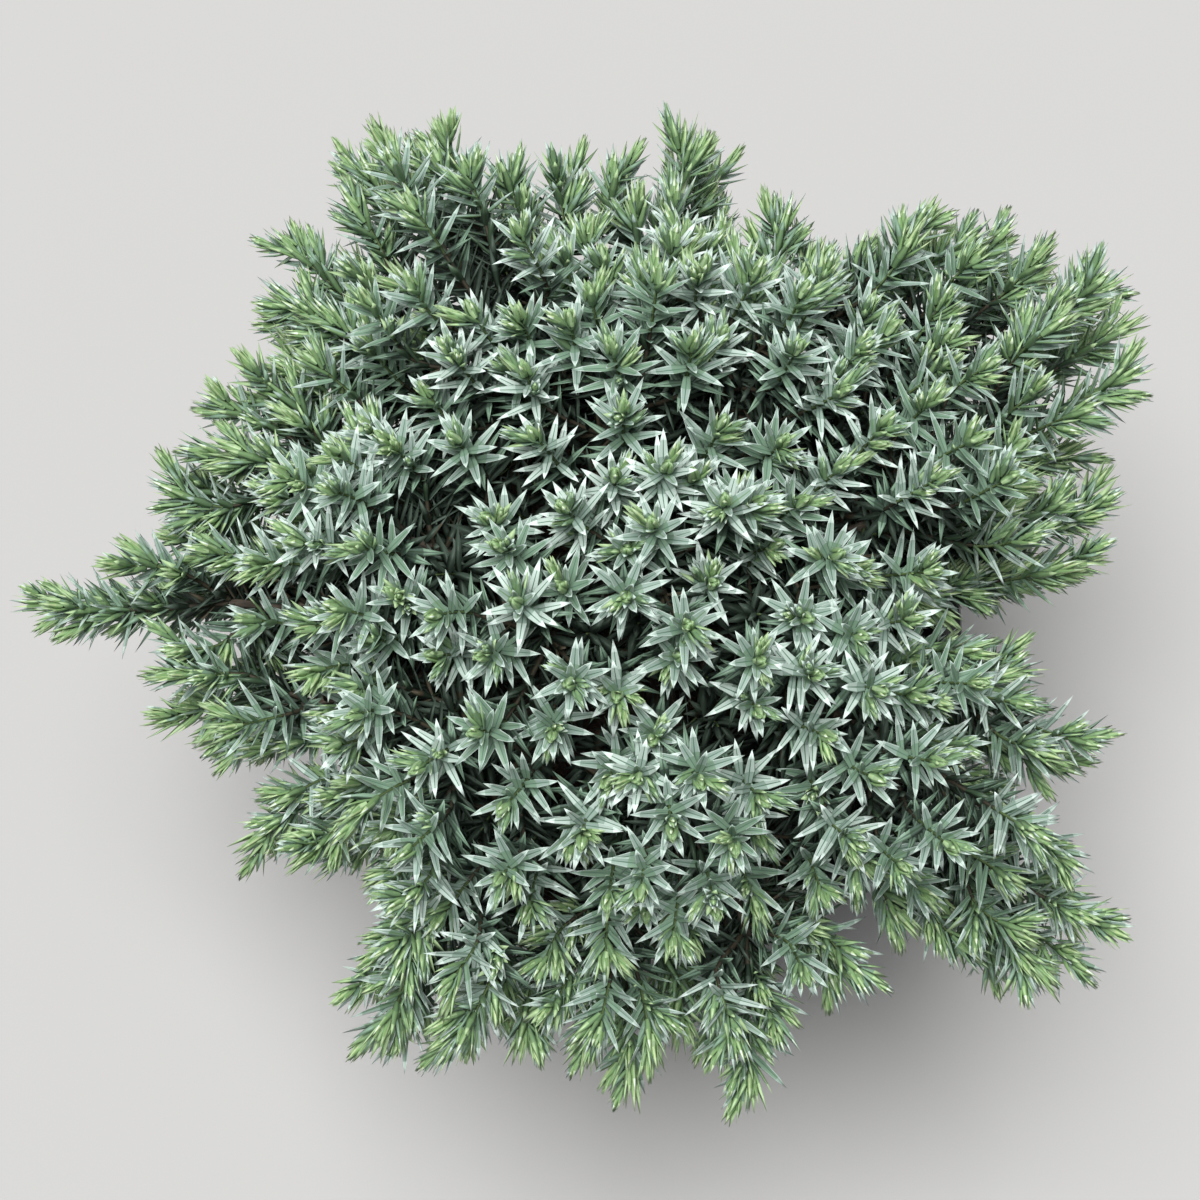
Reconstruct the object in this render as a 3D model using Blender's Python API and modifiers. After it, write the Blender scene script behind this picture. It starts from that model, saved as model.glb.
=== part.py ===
"""A dwarf blue juniper in a plain nursery pot: pot, potting mix, trunk, boughs and masses of needles.

Units are metres, +Z is up, and the origin is the middle of the pot's flat underside.
Every mass of foliage grows by one seeded rule: shoot tips are laid evenly over the crown's outline,
each is given to the nearest bough, and a twig grows to it from the stem that carries on that bough.
"""

import math
import random

import bmesh
import bpy
from mathutils import Matrix, Vector
from mathutils.bvhtree import BVHTree

# Pot
POT_HEIGHT = 0.115
POT_RIM_RADIUS = 0.066
POT_FOOT_RADIUS = 0.047
POT_WALL = 0.0024
POT_FLOOR = 0.003
RIM_BAND_HEIGHT = 0.015
RIM_BAND_PROUD = 0.0022
EDGE_ROUND = 0.0010
POT_TAPER = (POT_RIM_RADIUS - RIM_BAND_PROUD - POT_FOOT_RADIUS) / POT_HEIGHT
POT_STEPS = 36

# Potting mix
MIX_BELOW_RIM = 0.012
MIX_TOP = POT_HEIGHT - MIX_BELOW_RIM
MIX_FLAT_RADIUS = 0.013
MIX_DISH = 0.0022
MIX_SIDE_GAP = 0.0009
MIX_STEPS = 24

# Every piece keeps this gap to its neighbour.
GAP = 0.0003

# Trunk
TRUNK_HEIGHT = 0.040
TRUNK_FLARE_RADIUS = 0.0088
TRUNK_RADIUS = 0.0062
TRUNK_TIP_RADIUS = 0.0034
TRUNK_LEAN = Vector((0.0016, 0.0010, 0.0))
TRUNK_SIDES = 12
FLARE_RIDGES = 4
FLARE_RIDGE_DEPTH = 0.16

# Crown. The hub is the point that all boughs fan out from.
HUB = Vector((0.0, 0.0, MIX_TOP + 0.025))
CROWN_RISE = 0.090
LOBE_DEPTH = 0.11
LOBE_HALF_ANGLE = math.radians(15)

# Low boughs: compass bearing from +X in degrees, rise above level in degrees, reach from the trunk to the
# furthest needle in metres. The bearings and reaches are those of the lobes seen from above.
LOW_BOUGHS = (
    (6, 7, 0.098),
    (27, 13, 0.117),
    (44, 6, 0.121),
    (63, 12, 0.099),
    (85, 8, 0.104),
    (110, 14, 0.114),
    (131, 7, 0.110),
    (156, 12, 0.106),
    (178, 5, 0.126),
    (196, 13, 0.108),
    (213, 6, 0.098),
    (238, 12, 0.106),
    (263, 7, 0.097),
    (287, 13, 0.103),
    (323, 8, 0.117),
    (347, 13, 0.093),
)
MID_COUNT = 7
MID_RISE = 43
MID_FIRST_BEARING = 17
TOP_COUNT = 3
TOP_RISE = 64
TOP_FIRST_BEARING = 94
RISE_SWING = 4

# Height above the mix at which a bough leaves the trunk, by its rise in degrees.
LEVELS_BY_RISE = ((5, 0.0055), (14, 0.0155), (39, 0.0205), (47, 0.0245), (71, 0.0295))

# Boughs
BOUGH_SHARE = 0.43
BOUGH_RADIUS = 0.0017
BOUGH_TIP_RADIUS = 0.0013
BOUGH_SIDES = 5
BOUGH_STEPS = 4
BOUGH_ARCH = 0.40
LEAVING_RISE = math.radians(30)
LEAVING_SHARE = 0.3
BOUGH_WOBBLE = 0.0009

# Shoots
SHOOTS_OVER_CROWN = 230
GOLDEN_ANGLE = math.pi * (3 - math.sqrt(5))
LOWEST_SHOOT = math.radians(-19)
SHOOT_JITTER = 0.055
SHOOT_LIFT = 0.12
SHOOT_STRAY = 0.10
DEPTH_JITTER = 0.010
TIP_NEEDLE_REACH = 0.0065
STEM_SHARE = 0.66
FORK_ANGLE = math.radians(38)
TWIG_SIDES = 3
TWIG_STEPS = 2
STEM_RADIUS = 0.0018
TWIG_FOOT_RADIUS = 0.0011
TWIG_RADIUS = 0.0020
BUD_LENGTH = 0.0055
TIP_CLEARANCE = 0.0055
CELL_CLEARANCE = 0.00025
OVER_RIM = 0.0012
LIFT_OVER_RIM = 0.008
CLOSEST_TIPS = 0.0105

# Whorls of needles, from the lowest: angle from the shoot, turn about it, length. Each whorl stands on
# the three sides of one short length of the shoot.
WHORLS = (
    (math.radians(78), 0.0, 0.0135),
    (math.radians(66), math.radians(40), 0.0140),
    (math.radians(50), math.radians(-40), 0.0135),
    (math.radians(30), 0.0, 0.0110),
)
WHORL_SPACING = 0.0031
NEEDLED_LENGTH = WHORL_SPACING * len(WHORLS)
SHORTEST_NEEDLE = 0.40
NEEDLE_LENGTH_SWING = 0.10

BARK = (0.19, 0.125, 0.085, 1.0)
POT_GREY = (0.050, 0.052, 0.055, 1.0)
MIX_BROWN = (0.060, 0.040, 0.027, 1.0)
NEEDLE_BLUE = (0.22, 0.34, 0.30, 1.0)


def clear_scene():
    """Removes the start-up objects."""
    for obj in list(bpy.data.objects):
        bpy.data.objects.remove(obj)


def new_collection(name):
    """A collection linked to the scene."""
    collection = bpy.data.collections.new(name)
    bpy.context.scene.collection.children.link(collection)
    return collection


def new_material(name, colour, roughness, metallic=0.0):
    """A Principled material of one colour."""
    material = bpy.data.materials.new(name)
    material.use_nodes = True
    shader = material.node_tree.nodes["Principled BSDF"]
    shader.inputs["Base Color"].default_value = colour
    shader.inputs["Roughness"].default_value = roughness
    shader.inputs["Metallic"].default_value = metallic
    material.diffuse_color = colour
    return material


def new_object(name, mesh, collection, material=None):
    """An object for a mesh, in its collection, with its material."""
    obj = bpy.data.objects.new(name, mesh)
    collection.objects.link(obj)
    if material:
        mesh.materials.append(material)
    return obj


def direction(bearing, rise):
    """The unit vector at a compass bearing from +X and a rise above level, both in radians."""
    return Vector(
        (
            math.cos(bearing) * math.cos(rise),
            math.sin(bearing) * math.cos(rise),
            math.sin(rise),
        )
    )


def turned_mesh(name, profile, steps):
    """A closed turned shape: a profile at +X, running down its outer side, spun by a Screw modifier."""
    outline = bpy.data.meshes.new(name)
    bm = bmesh.new()
    corners = [bm.verts.new((x, 0.0, z)) for x, z in profile]
    for first, second in zip(corners, corners[1:]):
        bm.edges.new((first, second))
    bm.to_mesh(outline)
    bm.free()
    obj = bpy.data.objects.new(name, outline)
    screw = obj.modifiers.new("Screw", "SCREW")
    screw.steps = steps
    screw.render_steps = steps
    screw.use_merge_vertices = True
    screw.merge_threshold = 0.00001
    return obj


def make_pot(collection, material):
    """The nursery pot: tapered wall, a band round the rim and a flat underside."""

    def wall(height):
        return POT_FOOT_RADIUS + POT_TAPER * height

    band_foot = POT_HEIGHT - RIM_BAND_HEIGHT
    inner_rim = POT_RIM_RADIUS - RIM_BAND_PROUD - POT_WALL
    profile = (
        (0.0, POT_FLOOR),
        (wall(POT_FLOOR) - POT_WALL, POT_FLOOR),
        (inner_rim, POT_HEIGHT - EDGE_ROUND),
        (inner_rim + EDGE_ROUND, POT_HEIGHT),
        (POT_RIM_RADIUS - EDGE_ROUND, POT_HEIGHT),
        (POT_RIM_RADIUS, POT_HEIGHT - EDGE_ROUND),
        (POT_RIM_RADIUS, band_foot + EDGE_ROUND),
        (wall(band_foot), band_foot - EDGE_ROUND),
        (wall(2 * EDGE_ROUND), 2 * EDGE_ROUND),
        (POT_FOOT_RADIUS - EDGE_ROUND, 0.0),
        (0.0, 0.0),
    )
    pot = turned_mesh("pot", profile, POT_STEPS)
    pot.data.materials.append(material)
    collection.objects.link(pot)


def make_mix(collection, material):
    """The potting mix that fills the pot: level under the trunk and slightly dished towards the wall."""
    inside = POT_FOOT_RADIUS - POT_WALL - MIX_SIDE_GAP
    floor = POT_FLOOR + GAP
    edge_height = MIX_TOP - MIX_DISH
    edge_radius = inside + POT_TAPER * edge_height
    profile = (
        (0.0, MIX_TOP),
        (MIX_FLAT_RADIUS, MIX_TOP),
        (edge_radius, edge_height),
        (inside + POT_TAPER * floor, floor),
        (0.0, floor),
    )
    mix = turned_mesh("potting_mix", profile, MIX_STEPS)
    mix.data.materials.append(material)
    collection.objects.link(mix)


def frames_along(points):
    """A turning frame at each point of a path: its Z axis follows the path and it never twists."""
    tangents = []
    for k in range(len(points)):
        before, after = points[max(k - 1, 0)], points[min(k + 1, len(points) - 1)]
        tangents.append((after - before).normalized())
    frame = tangents[0].to_track_quat("Z", "Y")
    frames = [frame]
    for first, second in zip(tangents, tangents[1:]):
        frame = first.rotation_difference(second) @ frame
        frames.append(frame)
    return frames


def limb_mesh(name, points, radii, sides, turn=0.0, ridges=None):
    """A tapering limb: a disc extruded from point to point along its path. A last radius of 0 makes a tip.

    Round limbs are shaded smooth. Ridges are waves round the limb, one depth for each point.
    """
    frames = frames_along(points)
    bm = bmesh.new()
    bmesh.ops.create_circle(bm, cap_ends=True, segments=sides, radius=1.0)
    face = bm.faces[:][0]
    ring = [Matrix.Rotation(turn, 3, "Z") @ vert.co for vert in face.verts]
    for k, (point, radius, frame) in enumerate(zip(points, radii, frames)):
        if k:
            made = bmesh.ops.extrude_face_region(bm, geom=[face])["geom"]
            if k > 1:
                bmesh.ops.delete(bm, geom=[face], context="FACES_ONLY")
            face = next(item for item in made if isinstance(item, bmesh.types.BMFace))
        if radius == 0.0:
            bmesh.ops.pointmerge(bm, verts=face.verts[:], merge_co=point)
            break
        for vert, corner in zip(face.verts, ring):
            reach = radius
            if ridges:
                reach *= 1 + ridges[k] * math.cos(FLARE_RIDGES * math.atan2(corner.y, corner.x))
            vert.co = point + frame @ (corner * reach)
    bmesh.ops.recalc_face_normals(bm, faces=bm.faces[:])
    for side in bm.faces:
        side.smooth = sides > 3 and len(side.verts) == 4
    mesh = bpy.data.meshes.new(name)
    bm.to_mesh(mesh)
    bm.free()
    return mesh


def bezier(start, handle_a, handle_b, end, steps):
    """Points along a cubic curve."""
    points = []
    for k in range(steps + 1):
        t = k / steps
        points.append(
            start * (1 - t) ** 3
            + handle_a * 3 * t * (1 - t) ** 2
            + handle_b * 3 * t * t * (1 - t)
            + end * t**3
        )
    return points


def trunk_point(height):
    """The trunk's centre at a height above the mix, with its lean."""
    share = height / TRUNK_HEIGHT
    return Vector((0.0, 0.0, MIX_TOP + height)) + TRUNK_LEAN * share * share


def trunk_mesh(name, extra=0.0):
    """The trunk: ridged root flare, taper and lean. Extra is added to its radius, for a cutter."""
    heights = (GAP, 0.0022, 0.0055, 0.013, 0.024, 0.033, TRUNK_HEIGHT)
    radii = (
        TRUNK_FLARE_RADIUS,
        0.5 * (TRUNK_FLARE_RADIUS + TRUNK_RADIUS),
        TRUNK_RADIUS,
        0.95 * TRUNK_RADIUS,
        0.86 * TRUNK_RADIUS,
        0.70 * TRUNK_RADIUS,
        TRUNK_TIP_RADIUS,
    )
    ridges = [FLARE_RIDGE_DEPTH * max(0.0, 1 - height / 0.011) for height in heights]
    points = [trunk_point(height) for height in heights]
    return limb_mesh(name, points, [radius + extra for radius in radii], TRUNK_SIDES, ridges=ridges)


class Bough:
    """One bough and its mass of foliage: its direction, its reach and where it leaves the trunk."""

    def __init__(self, name, bearing, rise, reach, level):
        self.name = name
        self.axis = direction(math.radians(bearing), math.radians(rise))
        self.bearing = math.radians(bearing)
        self.reach = reach
        self.level = level
        self.limb_end = HUB + self.axis * (reach * BOUGH_SHARE)

    def limb_points(self):
        """The limb's path, from the trunk's middle out and up, then round to the mass's own direction."""
        start = trunk_point(self.level)
        span = (self.limb_end - start).length
        leave = direction(self.bearing, LEAVING_RISE + LEAVING_SHARE * math.asin(self.axis.z))
        points = bezier(
            start,
            start + leave * span * BOUGH_ARCH,
            self.limb_end - self.axis * span * 0.35,
            self.limb_end,
            BOUGH_STEPS,
        )
        chance = random.Random(self.name)
        side = self.axis.cross(Vector((0.0, 0.0, 1.0))).normalized()
        for k in range(2, BOUGH_STEPS - 1):
            points[k] += side * chance.uniform(-BOUGH_WOBBLE, BOUGH_WOBBLE)
        return points


def trunk_level(rise):
    """The height above the mix at which a bough of this rise leaves the trunk. Flat boughs leave lowest."""
    for (low, under), (high, over) in zip(LEVELS_BY_RISE, LEVELS_BY_RISE[1:]):
        if rise <= high:
            return under + (over - under) * (rise - low) / (high - low)
    return LEVELS_BY_RISE[-1][1]


def plan_reach(bearing):
    """How far the crown reaches from the trunk at a bearing, eased between the low boughs on either side."""
    degrees = math.degrees(bearing) % 360
    for (first, _, near), (second, _, far) in zip(LOW_BOUGHS, LOW_BOUGHS[1:] + LOW_BOUGHS[:1]):
        gap = (second - first) % 360
        past = (degrees - first) % 360
        if past <= gap:
            ease = 0.5 - 0.5 * math.cos(math.pi * past / gap)
            return near + (far - near) * ease
    return LOW_BOUGHS[0][2]


def crown_reach(way):
    """The distance from the hub to the crown's outline in a direction: a dome over the plan outline."""
    level = math.hypot(way.x, way.y)
    plan = plan_reach(math.atan2(way.y, way.x))
    return 1 / math.hypot(level / plan, way.z / CROWN_RISE)


def all_boughs():
    """The low, middle and top boughs, and last the leader, whose mass stands on the trunk's own tip."""
    boughs = []
    for k, (bearing, rise, reach) in enumerate(LOW_BOUGHS):
        boughs.append(Bough(f"low_{k + 1:02d}", bearing, rise, reach, trunk_level(rise)))
    rings = (
        ("mid", MID_COUNT, MID_RISE, MID_FIRST_BEARING),
        ("top", TOP_COUNT, TOP_RISE, TOP_FIRST_BEARING),
    )
    for ring, count, rise, first in rings:
        for k in range(count):
            bearing = first + 360 * k / count
            tilt = rise + (RISE_SWING if k % 2 else -RISE_SWING)
            way = direction(math.radians(bearing), math.radians(tilt))
            boughs.append(Bough(f"{ring}_{k + 1:02d}", bearing, tilt, crown_reach(way), trunk_level(tilt)))
    leader = Bough("leader", 0, 90, CROWN_RISE, TRUNK_HEIGHT)
    leader.limb_end = trunk_point(TRUNK_HEIGHT)
    return boughs + [leader]


def cell_room(point, bough, boughs):
    """How far a point is inside its bough's own space. The spaces are cut by planes through the hub."""
    room = math.inf
    for other in boughs:
        if other is not bough:
            wall = (bough.axis - other.axis).normalized()
            room = min(room, wall.dot(point - HUB))
    return room


def moved_inside(point, bough, boughs, clearance):
    """The point, moved off the walls of its bough's space until it clears them all."""
    point = point.copy()
    for _ in range(3):
        for other in boughs:
            if other is not bough:
                wall = (bough.axis - other.axis).normalized()
                short = clearance - wall.dot(point - HUB)
                if short > 0:
                    point += wall * short
    return point


def over_pot(point):
    """True if a point is clear of the pot: above its rim, or outside it."""
    outside = math.hypot(point.x, point.y) > POT_RIM_RADIUS + TWIG_RADIUS + OVER_RIM
    return outside or point.z > POT_HEIGHT + TWIG_RADIUS + OVER_RIM


class Shoot:
    """One shoot of the crown: its bough, its tip and the way it points."""

    def __init__(self, index, boughs):
        chance = random.Random(index)
        low = math.sin(LOWEST_SHOOT)
        height = low + (1 - low) * (index + 0.5) / SHOOTS_OVER_CROWN
        way = direction(index * GOLDEN_ANGLE, math.asin(height))
        way += Vector([chance.uniform(-SHOOT_JITTER, SHOOT_JITTER) for _ in range(3)])
        way.normalize()
        self.bough = max(boughs, key=lambda bough: bough.axis.dot(way))
        off_axis = way.angle(self.bough.axis) / LOBE_HALF_ANGLE
        reach = crown_reach(way) * (1 - LOBE_DEPTH * min(off_axis * off_axis, 1.5))
        reach -= TIP_NEEDLE_REACH + DEPTH_JITTER * chance.random() ** 2
        tip = HUB + way * reach
        if math.hypot(tip.x, tip.y) < POT_RIM_RADIUS + 1.3 * NEEDLED_LENGTH:
            tip.z = max(tip.z, POT_HEIGHT + LIFT_OVER_RIM)
        self.tip = moved_inside(tip, self.bough, boughs, TIP_CLEARANCE)
        stray = Vector([chance.gauss(0, SHOOT_STRAY) for _ in range(3)])
        self.way = (way + Vector((0.0, 0.0, SHOOT_LIFT)) + stray).normalized()
        self.turn = chance.uniform(0, 2 * math.pi)
        self.lot = chance.random()


def stem_ends(bough):
    """The straight part of the stem that carries on a bough: its foot, a gap from the bough, and its top."""
    return bough.limb_end + bough.axis * GAP, HUB + bough.axis * (bough.reach * STEM_SHARE)


def shoot_foot(shoot):
    """The point on a shoot's own line where its needles begin."""
    return shoot.tip - shoot.way * NEEDLED_LENGTH


def twig_points(shoot, steps):
    """A twig's path: it leaves its stem at the fork angle and bends round to the shoot's own direction.

    One that hangs outside the pot leaves near the stem's top, past the rim.
    """
    axis = shoot.bough.axis
    start, top = stem_ends(shoot.bough)
    along = (shoot.tip - start).dot(axis)
    aside = (shoot.tip - start - axis * along).length
    fork = (along - aside / math.tan(FORK_ANGLE)) / (top - start).length
    lowest, highest = 0.08 + 0.12 * shoot.lot, 0.88 + 0.08 * shoot.lot
    fork = min(max(fork, lowest), highest) if shoot.tip.z > POT_HEIGHT + LIFT_OVER_RIM else highest
    root = start.lerp(top, fork)
    end = shoot_foot(shoot)
    span = (end - root).length
    leave = ((end - root).normalized() + axis * 0.6).normalized()
    return bezier(root, root + leave * span * 0.33, end - shoot.way * span * 0.3, end, steps)


def path_is_clear(points, bough, boughs):
    """True if a path, tested every millimetre or so, stays in its bough's space and clear of the pot."""
    for first, second in zip(points, points[1:]):
        steps = math.ceil((second - first).length / 0.001)
        for k in range(steps + 1):
            point = first.lerp(second, k / steps)
            if cell_room(point, bough, boughs) < CELL_CLEARANCE + TWIG_RADIUS or not over_pot(point):
                return False
    return True


def room_ahead(start, way, bough, boughs):
    """How far a straight line can run from a point before it meets a wall of its bough's space."""
    room = math.inf
    for other in boughs:
        if other is not bough:
            wall = (bough.axis - other.axis).normalized()
            speed = -wall.dot(way)
            if speed > 0:
                room = min(room, (wall.dot(start - HUB) - CELL_CLEARANCE) / speed)
    return room


def needle_tip(root, shoot, whorl, side, length, boughs):
    """Where a needle's tip goes: cut short at the wall of its space. None if too little room is left."""
    spread, turn = whorl
    out = Matrix.Rotation(turn, 3, shoot.way) @ (side - shoot.way * side.dot(shoot.way)).normalized()
    way = out * math.sin(spread) + shoot.way * math.cos(spread)
    reach = min(length, room_ahead(root, way, shoot.bough, boughs))
    tip = root + way * reach
    return tip if reach > SHORTEST_NEEDLE * length and over_pot(tip) else None


def meets_others(face, tip, others):
    """True if the needle from a face to a tip would run into one of the other shoots."""
    corners = [vert.co for vert in face.verts]
    sides = [(k, (k + 1) % len(corners), len(corners)) for k in range(len(corners))]
    needle = BVHTree.FromPolygons(corners + [tip], sides)
    return any(other.overlap(needle) for other in others)


def draw_needles(bm, shoot, boughs, others):
    """Draws a needle out of each side of a shoot's whorls, wherever there is room for it."""
    foot = shoot_foot(shoot)
    chance = random.Random(shoot.turn)
    for row, (spread, turn, length) in enumerate(WHORLS):
        middle = (row + 0.5) * WHORL_SPACING
        for face in [face for face in bm.faces if len(face.verts) == 4]:
            root = face.calc_center_median()
            if abs((root - foot).dot(shoot.way) - middle) < 0.3 * WHORL_SPACING:
                reach = length * (1 + chance.uniform(-NEEDLE_LENGTH_SWING, NEEDLE_LENGTH_SWING))
                tip = needle_tip(root, shoot, (spread, turn), face.normal.copy(), reach, boughs)
                if tip and not meets_others(face, tip, others):
                    drawn = bmesh.ops.extrude_discrete_faces(bm, faces=[face])["faces"][0]
                    bmesh.ops.pointmerge(bm, verts=drawn.verts[:], merge_co=tip)


def shoot_mesh(name, shoot, points, foot_radius, boughs, others):
    """A twig with its needles: a three-sided core whose last lengths have a needle drawn out of each side.

    Adds the finished shoot to the others, which later needles of the same mass keep clear of.
    """
    whorl_tops = [shoot.tip - shoot.way * (WHORL_SPACING * k) for k in range(len(WHORLS) - 1, -1, -1)]
    path = points + whorl_tops + [shoot.tip + shoot.way * BUD_LENGTH]
    radii = [foot_radius + (TWIG_RADIUS - foot_radius) * k / (len(points) - 1) for k in range(len(points))]
    radii += [TWIG_RADIUS] * len(WHORLS) + [0.0]
    mesh = limb_mesh(name, path, radii, TWIG_SIDES, shoot.turn)
    bm = bmesh.new()
    bm.from_mesh(mesh)
    bm.normal_update()
    draw_needles(bm, shoot, boughs, others)
    bm.to_mesh(mesh)
    others.append(BVHTree.FromBMesh(bm))
    bm.free()
    return mesh


def apply_modifiers(obj):
    """Replaces an object's mesh by its evaluated one and drops the modifiers."""
    graph = bpy.context.evaluated_depsgraph_get()
    mesh = bpy.data.meshes.new_from_object(obj.evaluated_get(graph))
    obj.modifiers.clear()
    obj.data = mesh


def make_mass(bough, shoots, boughs, collection, material):
    """One mass of foliage: a stem that runs on into its leading shoot, and a twig for each other shoot.

    One Boolean union joins them. A twig that would leave the mass's own space or crowd another is skipped.
    """
    leader = max(shoots, key=lambda shoot: (shoot.tip - HUB).normalized().dot(bough.axis))
    name = f"foliage_{bough.name}"
    grown = []
    stem = shoot_mesh(name, leader, [*stem_ends(bough), shoot_foot(leader)], STEM_RADIUS, boughs, grown)
    mass = new_object(name, stem, collection, material)
    pieces = new_collection(f"pieces_{bough.name}")
    placed = [leader]
    for shoot in shoots:
        points = twig_points(shoot, TWIG_STEPS)
        outline = points[1:] + [shoot.tip + shoot.way * BUD_LENGTH]
        crowded = any((shoot.tip - other.tip).length < CLOSEST_TIPS for other in placed)
        if not crowded and path_is_clear(outline, bough, boughs):
            placed.append(shoot)
            new_object("twig", shoot_mesh("twig", shoot, points, TWIG_FOOT_RADIUS, boughs, grown), pieces)
    union = mass.modifiers.new("Union", "BOOLEAN")
    union.operation = "UNION"
    union.operand_type = "COLLECTION"
    union.collection = pieces
    union.solver = "MANIFOLD"
    apply_modifiers(mass)
    for piece in list(pieces.objects):
        bpy.data.objects.remove(piece)
    bpy.data.collections.remove(pieces)


def make_bough(bough, cutter, collection, material):
    """One bough: a tapering limb that starts inside the trunk and is cut back to a gap from its surface."""
    points = bough.limb_points()
    share = [k / BOUGH_STEPS for k in range(BOUGH_STEPS + 1)]
    radii = [BOUGH_RADIUS + (BOUGH_TIP_RADIUS - BOUGH_RADIUS) * t for t in share]
    name = f"bough_{bough.name}"
    limb = new_object(name, limb_mesh(name, points, radii, BOUGH_SIDES), collection, material)
    cut = limb.modifiers.new("Foot", "BOOLEAN")
    cut.operation = "DIFFERENCE"
    cut.object = cutter
    cut.solver = "EXACT"
    apply_modifiers(limb)


def main():
    """Builds the potted plant."""
    clear_scene()
    plant = new_collection("potted_conifer")
    cutters = new_collection("cutters")
    pot_plastic = new_material("pot_plastic", POT_GREY, 0.55)
    mix = new_material("potting_mix", MIX_BROWN, 0.95)
    bark = new_material("bark", BARK, 0.85)
    needles = new_material("needles", NEEDLE_BLUE, 0.55)

    make_pot(plant, pot_plastic)
    make_mix(plant, mix)
    new_object("trunk", trunk_mesh("trunk"), plant, bark)

    cutter = new_object("trunk_cutter", trunk_mesh("trunk_cutter", extra=GAP), cutters)
    cutter.hide_render = True
    cutter.display_type = "WIRE"

    boughs = all_boughs()
    for bough in boughs[:-1]:
        make_bough(bough, cutter, plant, bark)

    shoots = [Shoot(index, boughs) for index in range(SHOOTS_OVER_CROWN)]
    for bough in boughs:
        own = [shoot for shoot in shoots if shoot.bough is bough]
        make_mass(bough, own, boughs, plant, needles)


main()
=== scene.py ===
"""Dresses the potted dwarf conifer: needles, twigs, bark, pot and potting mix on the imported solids.

The crown grows by the rule that made the solids. Shoot tips lie evenly over the crown's outline, each
belongs to the nearest bough, and a twig grows to it from the stem that carries on that bough. Here the
rule is carried on to finer shoots, to side buds and to every single needle.
"""

import logging
import math
import random
from dataclasses import dataclass, field
from enum import Enum
from typing import Sequence

import bpy
import numpy as np
from mathutils import Matrix, Vector


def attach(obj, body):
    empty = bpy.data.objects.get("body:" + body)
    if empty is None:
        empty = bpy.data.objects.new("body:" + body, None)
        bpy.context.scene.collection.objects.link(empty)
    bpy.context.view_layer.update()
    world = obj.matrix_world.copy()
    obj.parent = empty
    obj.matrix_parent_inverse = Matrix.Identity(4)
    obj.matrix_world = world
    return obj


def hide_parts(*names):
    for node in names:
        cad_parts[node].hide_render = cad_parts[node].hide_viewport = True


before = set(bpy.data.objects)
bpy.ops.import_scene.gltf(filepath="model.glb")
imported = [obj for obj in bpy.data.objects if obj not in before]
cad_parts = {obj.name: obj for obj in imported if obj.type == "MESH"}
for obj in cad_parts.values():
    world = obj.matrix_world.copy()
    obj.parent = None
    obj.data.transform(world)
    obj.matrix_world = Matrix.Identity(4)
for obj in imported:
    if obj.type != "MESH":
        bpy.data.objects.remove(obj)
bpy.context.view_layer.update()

LOG = logging.getLogger("potted_conifer")

Point = tuple[float, float, float]
Colour = tuple[float, float, float]
Range = tuple[float, float]
Pairs = tuple[tuple[float, float], ...]
Stops = Sequence[tuple[float, Colour]]
Materials = Sequence[bpy.types.Material]

GOLDEN_ANGLE = math.pi * (3 - math.sqrt(5))
UP = Vector((0.0, 0.0, 1.0))


# Shader maths


class Value:
    """A socket that carries a number, so that shader maths reads as an expression."""

    def __init__(self, graph: "Graph", socket: bpy.types.NodeSocket) -> None:
        """Keeps the socket and the graph that it belongs to."""
        self.graph = graph
        self.socket = socket

    def _maths(self, operation: str, first: object, second: object) -> "Value":
        """The result of one Math node for two values or numbers."""
        return self.graph.add("ShaderNodeMath", {"operation": operation}, {0: first, 1: second})

    def __add__(self, other: object) -> "Value":
        """The sum."""
        return self._maths("ADD", self, other)

    __radd__ = __add__

    def __mul__(self, other: object) -> "Value":
        """The product."""
        return self._maths("MULTIPLY", self, other)

    __rmul__ = __mul__

    def __sub__(self, other: object) -> "Value":
        """The difference."""
        return self._maths("SUBTRACT", self, other)

    def __rsub__(self, other: object) -> "Value":
        """The difference from a number."""
        return self._maths("SUBTRACT", other, self)


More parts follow.
